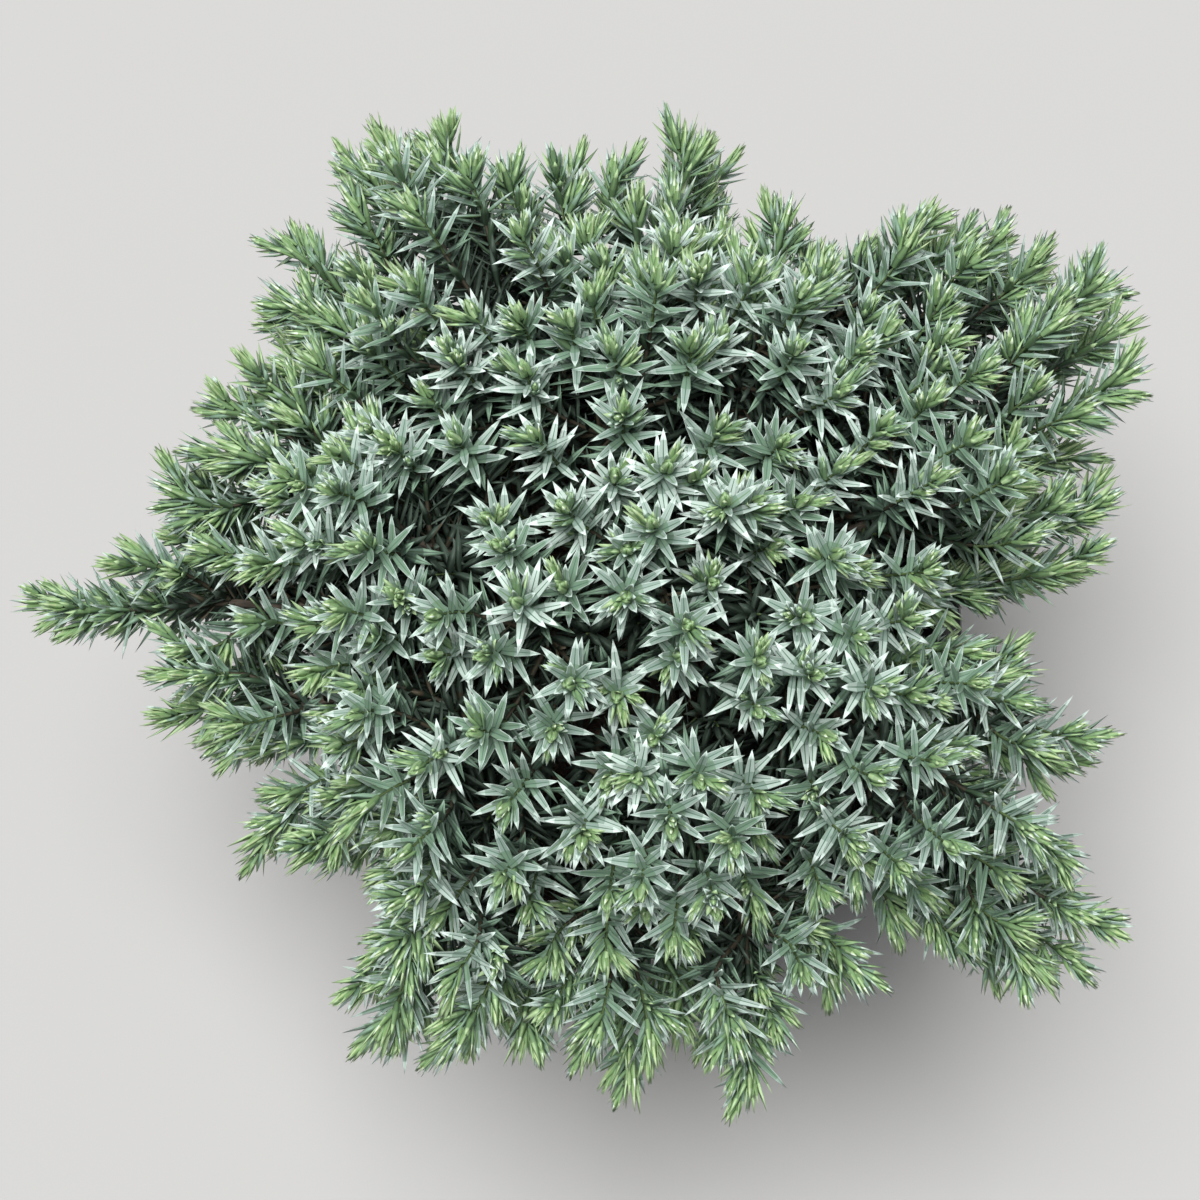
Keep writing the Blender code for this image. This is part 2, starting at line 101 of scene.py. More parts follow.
class Graph:
    """The node tree of one material, with its Principled shader."""

    def __init__(self, name: str) -> None:
        """Makes the material and finds its shader.

        Args:
            name: The material's name.
        """
        self.material = bpy.data.materials.new(name)
        self.material.use_nodes = True
        self.tree = self.material.node_tree
        self.shader = self.tree.nodes["Principled BSDF"]

    def add(self, kind: str, settings: dict[str, object], inputs: dict[object, object], output: object = 0) -> Value:
        """Adds any node: its settings first, then the values or links of its sockets.

        Args:
            kind: The node's type.
            settings: Its own settings. A ramp's stops are given as "stops".
            inputs: Socket name or number to a value, a link or a number.
            output: The name or number of the socket that is returned.

        Returns:
            That output.
        """
        node = self.tree.nodes.new(kind)
        for key, setting in settings.items():
            if key == "stops":
                self._set_stops(node, setting)
            else:
                setattr(node, key, setting)
        self._plug(node, inputs)
        return Value(self, node.outputs[output])

    def _plug(self, node: bpy.types.Node, inputs: dict[object, object]) -> None:
        """Links or sets a node's sockets.

        Args:
            node: The node.
            inputs: Socket name or number to a value, a link or a number.
        """
        for key, value in inputs.items():
            if isinstance(value, Value):
                self.tree.links.new(value.socket, node.inputs[key])
            else:
                node.inputs[key].default_value = value

    @staticmethod
    def _set_stops(node: bpy.types.Node, stops: Stops) -> None:
        """Gives a colour ramp its stops.

        Args:
            node: The ramp.
            stops: Place and colour of each stop, the first and last at the ends.
        """
        ramp = node.color_ramp
        while len(ramp.elements) < len(stops):
            ramp.elements.new(0.5)
        for element, (place, colour) in zip(ramp.elements, stops):
            element.position = place
            element.color = (*colour, 1.0)

    def place(self, scale: Point) -> Value:
        """The place on the object, scaled along each axis."""
        place = self.add("ShaderNodeTexCoord", {}, {}, "Object")
        return self.add("ShaderNodeMapping", {}, {"Vector": place, "Scale": scale})

    def noise(self, place: Value, scale: float, detail: float, roughness: float = 0.5) -> Value:
        """A noise pattern between 0 and 1: cells per metre, octaves, and the weight of the fine ones."""
        inputs = {"Vector": place, "Scale": scale, "Detail": detail, "Roughness": roughness}
        return self.add("ShaderNodeTexNoise", {}, inputs, "Fac")

    def ramp(self, value: Value, stops: Stops) -> Value:
        """A colour for a value, from a ramp's stops."""
        return self.add("ShaderNodeValToRGB", {"stops": stops}, {"Fac": value}, "Color")

    def mix(self, share: Value, first: Value, second: Colour) -> Value:
        """A colour between two, by a share."""
        return self.add("ShaderNodeMix", {"data_type": "RGBA"}, {0: share, 6: first, 7: (*second, 1.0)}, 2)

    def bump(self, height: Value, distance: float, strength: float) -> Value:
        """A bumped normal for a height, with the relief's depth in metres."""
        return self.add("ShaderNodeBump", {}, {"Height": height, "Distance": distance, "Strength": strength})

    def finish(self, inputs: dict[str, object]) -> bpy.types.Material:
        """Sets the shader's sockets and hands over the finished material."""
        self._plug(self.shader, inputs)
        return self.material


class SkyGraph(Graph):
    """The node tree of the studio's surroundings."""

    def __init__(self, name: str, colour: Colour) -> None:
        """Makes the surroundings and finds their shader.

        Args:
            name: Their name.
            colour: Their colour.
        """
        world = bpy.data.worlds.new(name)
        world.use_nodes = True
        bpy.context.scene.world = world
        self.tree = world.node_tree
        self.shader = self.tree.nodes["Background"]
        self._plug(self.shader, {"Color": (*colour, 1.0)})

    def shade(self, levels: Sequence[tuple[float, float]]) -> None:
        """Sets how bright the surroundings are from the horizon up.

        Args:
            levels: Height, 0 at the horizon and 1 overhead, and the brightness there.
        """
        way = self.add("ShaderNodeTexCoord", {}, {}, "Generated")
        height = self.add("ShaderNodeSeparateXYZ", {}, {"Vector": way}, "Z")
        stops = [(place, (level, level, level)) for place, level in levels]
        self._plug(self.shader, {"Strength": self.ramp(height, stops)})


# Finishes


@dataclass(frozen=True)
class LeafFinish:
    """One plain colour of a needle or a young twig."""

    name: str
    colour: Colour
    roughness: float = 0.5

    def material(self) -> bpy.types.Material:
        """The material of this colour."""
        graph = Graph(self.name)
        colour = (*self.colour, 1.0)
        return graph.finish({"Base Color": colour, "Roughness": self.roughness, "Specular IOR Level": 0.3})


@dataclass(frozen=True)
class BarkFinish:
    """Rough brown bark with paler flakes."""

    dark: Colour = (0.028, 0.020, 0.014)
    brown: Colour = (0.056, 0.044, 0.030)
    flake: Colour = (0.112, 0.094, 0.072)
    grain: float = 520.0

    def material(self) -> bpy.types.Material:
        """The bark's material."""
        graph = Graph("bark")
        grain = graph.add("ShaderNodeAttribute", {"attribute_name": "grain"}, {}, "Vector")
        coarse = graph.noise(grain, scale=self.grain, detail=5.0, roughness=0.65)
        fine = graph.noise(grain, scale=4 * self.grain, detail=3.0)
        height = coarse * 0.75 + fine * 0.25
        colour = graph.ramp(height, ((0.36, self.dark), (0.50, self.brown), (0.66, self.flake)))
        normal = graph.bump(height, distance=0.0006, strength=0.8)
        return graph.finish({"Base Color": colour, "Roughness": 0.95 - fine * 0.2, "Normal": normal})


@dataclass(frozen=True)
class PotFinish:
    """Satin moulded plastic in charcoal grey, rubbed a little, with dried splashes of soil near its foot."""

    base: Colour = (0.0270, 0.0280, 0.0295)
    rubbed: Colour = (0.0390, 0.0400, 0.0410)
    soil: Colour = (0.118, 0.100, 0.080)
    splash_height: float = 0.034

    def material(self) -> bpy.types.Material:
        """The pot's material."""
        graph = Graph("pot_plastic")
        place = graph.place((1.0, 1.0, 1.0))
        height = graph.add("ShaderNodeSeparateXYZ", {}, {"Vector": place}, "Z")
        cloud = graph.noise(place, scale=55.0, detail=5.0, roughness=0.55)
        specks = graph.noise(place, scale=620.0, detail=4.0, roughness=0.65)
        grain = graph.noise(place, scale=2600.0, detail=2.0)
        run = graph.noise(graph.place((1.0, 1.0, 0.05)), scale=420.0, detail=3.0, roughness=0.55)
        low = 1 - height * (1 / self.splash_height)
        splash = specks * 0.75 + cloud * 0.25 + low * 0.10
        colour = graph.ramp(cloud * 0.55 + run * 0.45, ((0.36, self.base), (0.66, self.rubbed)))
        dirt = graph.ramp(splash, ((0.58, (0.0, 0.0, 0.0)), (0.72, (0.8, 0.8, 0.8))))
        colour = graph.mix(dirt, colour, self.soil)
        rough = 0.36 + cloud * 0.16 + specks * 0.10
        normal = graph.bump(grain * 0.6 + specks * 0.4, distance=0.00010, strength=0.45)
        return graph.finish({"Base Color": colour, "Roughness": rough, "Normal": normal})


@dataclass(frozen=True)
class MixFinish:
    """Damp, dark, fibrous potting mix."""

    name: str
    dark: Colour
    pale: Colour
    grain: float = 900.0

    def material(self) -> bpy.types.Material:
        """The mix's material."""
        graph = Graph(self.name)
        place = graph.place((1.0, 1.0, 1.0))
        coarse = graph.noise(place, scale=self.grain, detail=6.0, roughness=0.7)
        fine = graph.noise(place, scale=5 * self.grain, detail=2.0)
        height = coarse * 0.7 + fine * 0.3
        colour = graph.ramp(height, ((0.38, self.dark), (0.66, self.pale)))
        normal = graph.bump(height, distance=0.0009, strength=0.9)
        return graph.finish({"Base Color": colour, "Roughness": 0.9, "Normal": normal})


class MixKind(Enum):
    """What the potting mix is made of: the mix itself, crumbs and bits of bark."""

    BODY = MixFinish("potting_mix", (0.012, 0.008, 0.005), (0.060, 0.040, 0.026))
    CRUMB = MixFinish("crumb", (0.020, 0.013, 0.008), (0.090, 0.060, 0.038))
    CHIP = MixFinish("bark_chip", (0.055, 0.032, 0.018), (0.180, 0.110, 0.065), 500.0)


class Tone(Enum):
    """The plain colours of needles and young twigs, one material slot each. The tones of old needles and of brown
    twigs are darker partly as painted shade.
    """

    TIP = LeafFinish("needle_tip", (0.530, 0.620, 0.580), 0.45)
    BAND_PALE = LeafFinish("needle_band_pale", (0.372, 0.458, 0.410), 0.50)
    BAND = LeafFinish("needle_band", (0.224, 0.302, 0.260), 0.50)
    BAND_GREEN = LeafFinish("needle_band_green", (0.148, 0.234, 0.164), 0.48)
    BAND_DEEP = LeafFinish("needle_band_deep", (0.064, 0.102, 0.078), 0.50)
    MIDRIB = LeafFinish("needle_midrib", (0.082, 0.146, 0.104), 0.42)
    BACK = LeafFinish("needle_back", (0.112, 0.192, 0.088), 0.42)
    BACK_BLUE = LeafFinish("needle_back_blue", (0.124, 0.208, 0.106), 0.45)
    BACK_DEEP = LeafFinish("needle_back_deep", (0.041, 0.072, 0.041), 0.45)
    YOUNG = LeafFinish("young_face", (0.156, 0.260, 0.106), 0.42)
    YOUNG_LINE = LeafFinish("young_line", (0.285, 0.400, 0.208), 0.45)
    YOUNG_BLUE = LeafFinish("young_blue", (0.150, 0.246, 0.114), 0.45)
    YOUNG_TIP = LeafFinish("young_tip", (0.350, 0.440, 0.228), 0.45)
    BUD = LeafFinish("bud_face", (0.142, 0.228, 0.100), 0.40)
    BUD_LINE = LeafFinish("bud_line", (0.232, 0.322, 0.182), 0.42)
    # Old needles are dull; these two tones are darkened further as painted shade for the dark depth of the crown.
    OLD = LeafFinish("old_needle", (0.017, 0.031, 0.019), 0.60)
    OLD_LINE = LeafFinish("old_needle_line", (0.035, 0.055, 0.040), 0.62)
    DRY = LeafFinish("dry_needle", (0.046, 0.038, 0.022), 0.70)
    TWIG_GREEN = LeafFinish("twig_green", (0.055, 0.085, 0.028), 0.60)
    # Old twig bark is brown; this tone is darkened further as painted shade for the dark depth of the crown.
    TWIG_BROWN = LeafFinish("twig_brown", (0.032, 0.027, 0.016), 0.75)


Tones = tuple[Tone, Tone, Tone]
TONES = list(Tone)


# Growth rule


@dataclass(frozen=True)
class PotSize:
    """The pot's and the mix's own sizes, as in the solids."""

    height: float = 0.115
    rim_radius: float = 0.066
    foot_radius: float = 0.047
    wall: float = 0.0024
    floor: float = 0.003
    band_height: float = 0.015
    band_proud: float = 0.0022
    mix_below_rim: float = 0.012

    @property
    def mix_top(self) -> float:
        """The height of the potting mix round the trunk."""
        return self.height - self.mix_below_rim

    def wall_radius(self, height: float) -> float:
        """The outer wall's radius at a height."""
        return self.foot_radius + (self.rim_radius - self.band_proud - self.foot_radius) * height / self.height


POT = PotSize()


def direction(bearing: float, rise: float) -> Vector:
    """The unit vector at a compass bearing from +X and a rise above level, both in radians."""
    return Vector((math.cos(bearing) * math.cos(rise), math.sin(bearing) * math.cos(rise), math.sin(rise)))


def outward(axis: Vector, angle: float) -> Vector:
    """The direction square to an axis, at an angle round it."""
    return axis.to_track_quat("Z", "Y") @ Vector((math.cos(angle), math.sin(angle), 0.0))


def runs_along(points: np.ndarray) -> np.ndarray:
    """How far along a path each of its points lies, from 0."""
    return np.concatenate([[0.0], np.cumsum(np.linalg.norm(np.diff(points, axis=0), axis=1))])


def bezier(start: Vector, handle_a: Vector, handle_b: Vector, end: Vector, steps: int) -> list[Vector]:
    """Points along a cubic curve.

    Args:
        start: The curve's start.
        handle_a: The handle after the start.
        handle_b: The handle before the end.
        end: The curve's end.
        steps: The number of lengths.

    Returns:
        One point more than steps.
    """
    points = []
    for k in range(steps + 1):
        t = k / steps
        points.append(
            start * (1 - t) ** 3
            + handle_a * 3 * t * (1 - t) ** 2
            + handle_b * 3 * t * t * (1 - t)
            + end * t**3
        )
    return points


@dataclass
class Trunk:
    """The short trunk: its lean and its radii from the flared foot to the tip."""

    height: float = 0.040
    lean: Point = (0.0016, 0.0010, 0.0)
    gap: float = 0.0003
    levels: tuple[float, ...] = (0.0003, 0.0022, 0.0055, 0.013, 0.024, 0.033, 0.040)
    radii: tuple[float, ...] = (0.0088, 0.0075, 0.0062, 0.00589, 0.00533, 0.00434, 0.0034)

    def point(self, height: float) -> Vector:
        """The trunk's middle at a height above the mix."""
        share = height / self.height
        return Vector((0.0, 0.0, POT.mix_top + height)) + Vector(self.lean) * share * share

    def radius(self, height: float) -> float:
        """The trunk's radius at a height above the mix."""
        return float(np.interp(height, self.levels, self.radii))


@dataclass
class Bough:
    """One bough and its mass of foliage."""

    name: str
    bearing: float
    rise: float
    reach: float
    level: float
    hub: Vector
    share: float = 0.43
    arch: float = 0.40
    ease: float = 0.35
    leave_rise: float = math.radians(30)
    leave_steeper: float = 0.3
    stem_gap: float = 0.0003
    stem_share: float = 0.66
    axis: Vector = field(init=False)
    limb_end: Vector = field(init=False)

    def __post_init__(self) -> None:
        """Works out the bough's direction and where it enters its mass."""
        self.axis = direction(math.radians(self.bearing), math.radians(self.rise))
        self.limb_end = self.hub + self.axis * (self.reach * self.share)

    def limb_points(self, trunk: Trunk, steps: int) -> list[Vector]:
        """The limb's path from the trunk's middle to its mass.

        Args:
            trunk: The trunk that carries it.
            steps: The number of lengths.

        Returns:
            The path's points.
        """
        start = trunk.point(self.level)
        span = (self.limb_end - start).length
        rise = self.leave_rise + self.leave_steeper * math.asin(self.axis.z)
        leave = direction(math.radians(self.bearing), rise)
        return bezier(
            start,
            start + leave * span * self.arch,
            self.limb_end - self.axis * span * self.ease,
            self.limb_end,
            steps,
        )

    def stem_ends(self) -> tuple[Vector, Vector]:
        """The foot and the top of the stem that carries on the bough."""
        return self.limb_end + self.axis * self.stem_gap, self.hub + self.axis * (self.reach * self.stem_share)


@dataclass
class Shoot:
    """One shoot: its bough, its tip, the way it points and its own lots."""

    bough: Bough
    tip: Vector
    way: Vector
    turn: float
    lot: float
    order: int
    path: list[Vector] = field(default_factory=list)


@dataclass(frozen=True)
class Layer:
    """One round of shoots: the places that it tries, where they start, and the room that each shoot keeps."""

    places: int
    spacing: float
    first: float
    turn: float
    depth: float = 0.0
    inside: bool = False
    bare: float = 0.006
    pot_room: float = 0.008
    wall_room: float = 0.003


@dataclass
class Crown:
    """The crown's outline and the rule by which shoots fill it.

    The layers are the shoots of the solids, finer ones between them and old ones inside the crown. A low bough
    is a bearing, a rise and a reach. A ring is a name, a number of boughs, their rise and the first one's bearing.
    A level is a rise and the height at which such a bough leaves the trunk. A tuft is a bearing and how far the
    rim's shoots stand out there.
    """

    rise: float = 0.090
    lobe_depth: float = 0.11
    lobe_half_angle: float = math.radians(15)
    lobe_most: float = 1.5
    low: tuple[tuple[float, float, float], ...] = (
        (6, 7, 0.098), (27, 13, 0.117), (44, 6, 0.121), (63, 12, 0.099),
        (85, 8, 0.104), (110, 14, 0.114), (131, 7, 0.110), (156, 12, 0.106),
        (178, 5, 0.126), (196, 13, 0.108), (213, 6, 0.098), (238, 12, 0.106),
        (263, 7, 0.097), (287, 13, 0.103), (323, 8, 0.117), (347, 13, 0.093),
    )
    rings: tuple[tuple[str, int, float, float], ...] = (("mid", 7, 43, 17), ("top", 3, 64, 94))
    rise_swing: float = 4
    levels: Pairs = (
        (5, 0.0055), (14, 0.0155), (39, 0.0205), (47, 0.0245), (71, 0.0295),
    )
    layers: tuple[Layer, ...] = (
        Layer(places=230, spacing=0.0105, first=0.5, turn=0.0, bare=0.0124, pot_room=0.0161, wall_room=0.0055),
        Layer(places=480, spacing=0.0090, first=0.83, turn=1.9),
        Layer(places=340, spacing=0.0092, first=0.31, turn=0.7, depth=0.024, inside=True),
    )
    seeds_apart: int = 10000
    lowest: float = math.radians(-19)
    jitter: float = 0.055
    lift: float = 0.12
    stray: float = 0.10
    depth_jitter: float = 0.010
    tip_reach: float = 0.0065
    tufts: Pairs = (
        (3, -0.020), (9, 0.009), (20, -0.013), (27, 0.001), (36, 0.008), (47, 0.000),
        (56, 0.004), (64, -0.010), (71, -0.004), (76, -0.022), (83, 0.007), (92, -0.005),
        (97, 0.000), (107, -0.012), (113, 0.006), (121, 0.018), (128, -0.006), (134, 0.003),
        (145, 0.001), (156, -0.005), (168, -0.004), (172, -0.013), (178, 0.004), (184, -0.017),
        (192, 0.000), (197, -0.008), (205, -0.010), (213, 0.001), (221, -0.013), (227, -0.014),
        (233, 0.003), (239, -0.001), (246, 0.008), (255, -0.005), (264, 0.004), (272, -0.004),
        (281, 0.005), (290, -0.010), (304, -0.008), (317, -0.002), (327, 0.002), (333, -0.022),
        (341, 0.011), (349, -0.018), (353, 0.001), (357, -0.018),
    )
    tufts_end: float = 0.75
    tufts_fade: float = 0.35
    over_rim: float = 0.008
    fork_angle: float = math.radians(38)
    fork_ends: Pairs = ((0.08, 0.12), (0.88, 0.08))
    twig_along: float = 0.6
    twig_arch: float = 0.33
    twig_ease: float = 0.3
    twig_steps: int = 7
    hub: Vector = field(default_factory=lambda: Vector((0.0, 0.0, POT.mix_top + 0.025)))
    trunk: Trunk = field(default_factory=Trunk)
    boughs: list[Bough] = field(init=False)

    def __post_init__(self) -> None:
        """Lays out the boughs, and last the leader on the trunk's own tip."""
        self.boughs = []
        for k, (bearing, rise, reach) in enumerate(self.low):
            self._add_bough(f"low_{k + 1:02d}", bearing, rise, reach)
        for ring, count, rise, first in self.rings:
            for k in range(count):
                bearing = first + 360 * k / count
                tilt = rise + (self.rise_swing if k % 2 else -self.rise_swing)
                reach = self.outline(direction(math.radians(bearing), math.radians(tilt)))
                self._add_bough(f"{ring}_{k + 1:02d}", bearing, tilt, reach)
        leader = Bough("leader", 0, 90, self.rise, self.trunk.height, self.hub)
        leader.limb_end = self.trunk.point(self.trunk.height)
        self.boughs.append(leader)

    def _add_bough(self, name: str, bearing: float, rise: float, reach: float) -> None:
        """Adds a bough, whose level on the trunk follows from its rise."""
        level = float(np.interp(rise, *zip(*self.levels)))
        self.boughs.append(Bough(name, bearing, rise, reach, level, self.hub))

    def plan_reach(self, bearing: float) -> float:
        """How far the crown reaches at a bearing, eased between the low boughs on either side.

        Args:
            bearing: Radians from +X.

        Returns:
            The reach in metres.
        """
        degrees = math.degrees(bearing) % 360
        for (first, _, near), (second, _, far) in zip(self.low, self.low[1:] + self.low[:1]):
            gap = (second - first) % 360
            past = (degrees - first) % 360
            if past <= gap:
                return near + (far - near) * (0.5 - 0.5 * math.cos(math.pi * past / gap))
        return self.low[0][2]

    def outline(self, way: Vector) -> float:
        """The distance from the hub to the crown's outline in a direction."""
        plan = self.plan_reach(math.atan2(way.y, way.x))
        return 1 / math.hypot(math.hypot(way.x, way.y) / plan, way.z / self.rise)

    def tuft(self, way: Vector) -> float:
        """How far the shoots of the rim stand out of the even outline, or stay behind it.

        Args:
            way: The direction from the hub.

        Returns:
            The length in metres, nothing on top of the crown.
        """
        degrees = math.degrees(math.atan2(way.y, way.x))
        rim = min(max((self.tufts_end - way.z) / self.tufts_fade, 0.0), 1.0)
        return rim * float(np.interp(degrees, *zip(*self.tufts), period=360))

    def moved_inside(self, point: Vector, bough: Bough, clearance: float) -> Vector:
        """The point, moved off the walls of its bough's space.

        Args:
            point: The point.
            bough: The bough that it belongs to.
            clearance: The distance that it keeps from each wall.

        Returns:
            The moved point.
        """
        point = point.copy()
        for _ in range(3):
            for other in self.boughs:
                if other is not bough:
                    wall = (bough.axis - other.axis).normalized()
                    short = clearance - wall.dot(point - self.hub)
                    if short > 0:
                        point += wall * short
        return point

    @staticmethod
    def over_pot(point: Vector, room: float = 0.0032) -> bool:
        """True if a point is above the pot's rim or outside it, by the given room."""
        return math.hypot(point.x, point.y) > POT.rim_radius + room or point.z > POT.height + room

    def nearest_bough(self, way: Vector) -> Bough:
        """The bough whose direction is nearest."""
        return max(self.boughs, key=lambda bough: bough.axis.dot(way))

    def shoot(self, seed: int, place: float, bearing: float, order: int) -> Shoot:
        """Grows one shoot by the seeded rule.

        Args:
            seed: The seed of its own chances.
            place: Its share of the way up the dome, 0 to 1.
            bearing: Its bearing in radians.
            order: The number of its layer.

        Returns:
            The shoot, with no path yet.
        """
        layer = self.layers[order]
        chance = random.Random(seed)
        low = math.sin(self.lowest)
        way = direction(bearing, math.asin(low + (1 - low) * place))
        way += Vector([chance.uniform(-self.jitter, self.jitter) for _ in range(3)])
        way.normalize()
        bough = self.nearest_bough(way)
        off_axis = way.angle(bough.axis) / self.lobe_half_angle
        reach = self.outline(way) * (1 - self.lobe_depth * min(off_axis * off_axis, self.lobe_most))
        reach -= self.tip_reach + self.depth_jitter * chance.random() ** 2 + layer.depth
        reach += self.tuft(way)
        tip = self.hub + way * reach
        if math.hypot(tip.x, tip.y) < POT.rim_radius + layer.pot_room:
            tip.z = max(tip.z, POT.height + self.over_rim)
        tip = self.moved_inside(tip, bough, layer.wall_room)
        stray = Vector([chance.gauss(0, self.stray) for _ in range(3)])
        heading = (way + UP * self.lift + stray).normalized()
        return Shoot(bough, tip, heading, chance.uniform(0, 2 * math.pi), chance.random(), order)

    def twig_path(self, shoot: Shoot) -> list[Vector]:
        """A twig's path: it leaves its stem at the fork angle and bends to the shoot's own direction.

        Args:
            shoot: The shoot at the twig's end.

        Returns:
            The path's points, the tip last.
        """
        axis = shoot.bough.axis
        start, top = shoot.bough.stem_ends()
        along = (shoot.tip - start).dot(axis)
        aside = (shoot.tip - start - axis * along).length
        fork = (along - aside / math.tan(self.fork_angle)) / (top - start).length
        lowest, highest = (place + swing * shoot.lot for place, swing in self.fork_ends)
        fork = min(max(fork, lowest), highest) if shoot.tip.z > POT.height + self.over_rim else highest
        root = start.lerp(top, fork)
        end = shoot.tip - shoot.way * self.layers[shoot.order].bare
        span = (end - root).length
        leave = ((end - root).normalized() + axis * self.twig_along).normalized()
        handles = root + leave * span * self.twig_arch, end - shoot.way * span * self.twig_ease
        return bezier(root, *handles, end, self.twig_steps) + [shoot.tip]

    def grow(self) -> list[Shoot]:
        """Grows every shoot, layer by layer.

        Returns:
            The shoots, each with its path.
        """
        tips: list[Vector] = []
        shoots: list[Shoot] = []
        for order, layer in enumerate(self.layers):
            for k in range(layer.places):
                place, bearing = (k + layer.first) / layer.places, k * GOLDEN_ANGLE + layer.turn
                shoot = self.shoot(k + self.seeds_apart * order, place, bearing, order)
                if any((shoot.tip - other).length < layer.spacing for other in tips):
                    continue
                shoot.path = self.twig_path(shoot)
                if all(self.over_pot(point) for point in shoot.path[1:]):
                    tips.append(shoot.tip)
                    shoots.append(shoot)
        return shoots


# Needles


class Part(Enum):
    """The strips of a needle's skin."""

    EDGE = "pale margin"
    FACE = "band of the upper face"
    RIB = "line along the middle"
    BACK = "under side"


@dataclass(frozen=True)
class Blade:
    """A needle's shape for a needle of length and width 1: rows of points from root to tip, then the tip."""

    rows: tuple[float, ...]
    widths: tuple[float, ...]
    section: Pairs
    parts: tuple[Part, ...]

    def points(self) -> np.ndarray:
        """The blade's points, as across, along and over, with one row for each point of each section."""
        rows = []
        for along, width in zip(self.rows, self.widths):
            rows += [(across * width, along, over * width) for across, over in self.section]
        return np.array(rows + [(0.0, 1.0, 0.0)])

    def faces(self) -> tuple[np.ndarray, list[tuple[int, int]]]:
        """The blade's triangles, and the strip and the row of each."""
        around, count = len(self.section), len(self.rows)
        triangles, places = [], []
        for row in range(count - 1):
            for k in range(around):
                a, b = row * around + k, row * around + (k + 1) % around
                triangles += [(a, b, b + around), (a, b + around, a + around)]
                places += [(k, row), (k, row)]
        for k in range(around):
            last = (count - 1) * around
            triangles.append((last + k, last + (k + 1) % around, count * around))
            places.append((k, count - 1))
        return np.array(triangles), places


FOLDED = ((0.5, 0.14), (-0.5, 0.14), (-0.16, -0.16), (0.16, -0.16))
FOLDED_PARTS = (Part.FACE, Part.BACK, Part.RIB, Part.BACK)
STAR_BLADE = Blade(
    rows=(0.0, 0.34, 0.72),
    widths=(0.70, 1.0, 0.62),
    section=((0.5, 0.11), (0.39, 0.075), (0.06, 0.0), (-0.06, 0.0), (-0.39, 0.075), (-0.5, 0.11), (0.0, -0.20)),
    parts=(Part.EDGE, Part.FACE, Part.RIB, Part.FACE, Part.EDGE, Part.BACK, Part.BACK),
)
BUD_BLADE = Blade(
    rows=(0.0, 0.36, 0.72),
    widths=(0.70, 1.0, 0.56),
    section=((0.5, 0.16), (-0.5, 0.16), (-0.20, -0.20), (0.20, -0.20)),
    parts=FOLDED_PARTS,
)
BRUSH_BLADE = Blade(rows=(0.0, 0.34, 0.66), widths=(0.72, 1.0, 0.58), section=FOLDED, parts=FOLDED_PARTS)
SLIM_BLADE = Blade(rows=(0.0, 0.42), widths=(0.70, 1.0), section=FOLDED, parts=FOLDED_PARTS)
LINED_BLADE = Blade(
    rows=(0.0, 0.40),
    widths=(0.64, 1.0),
    section=((0.5, 0.12), (0.10, 0.0), (-0.10, 0.0), (-0.5, 0.12), (0.0, -0.22)),
    parts=(Part.FACE, Part.RIB, Part.FACE, Part.BACK, Part.BACK),
)
THIN_BLADE = Blade(
    rows=(0.0, 0.42),
    widths=(0.62, 1.0),
    section=((0.5, 0.10), (-0.5, 0.10), (0.0, -0.20)),
    parts=(Part.FACE, Part.BACK, Part.BACK),
)


@dataclass(frozen=True)
class NeedleLook:
    """A needle's blade, and the tones of its parts from root to tip."""

    blade: Blade
    face: Tones
    rib: Tones
    back: Tones
    edge: Tones = (Tone.BAND_GREEN, Tone.BAND_PALE, Tone.TIP)

    def tones(self) -> np.ndarray:
        """The material number of each of the blade's triangles."""
        by_part = {Part.EDGE: self.edge, Part.FACE: self.face, Part.RIB: self.rib, Part.BACK: self.back}
        rows = len(self.blade.rows)
        numbers = []
        for strip, row in self.blade.faces()[1]:
            tones = by_part[self.blade.parts[strip]]
            numbers.append(TONES.index(tones[2 if row == rows - 1 else row]))
        return np.array(numbers)


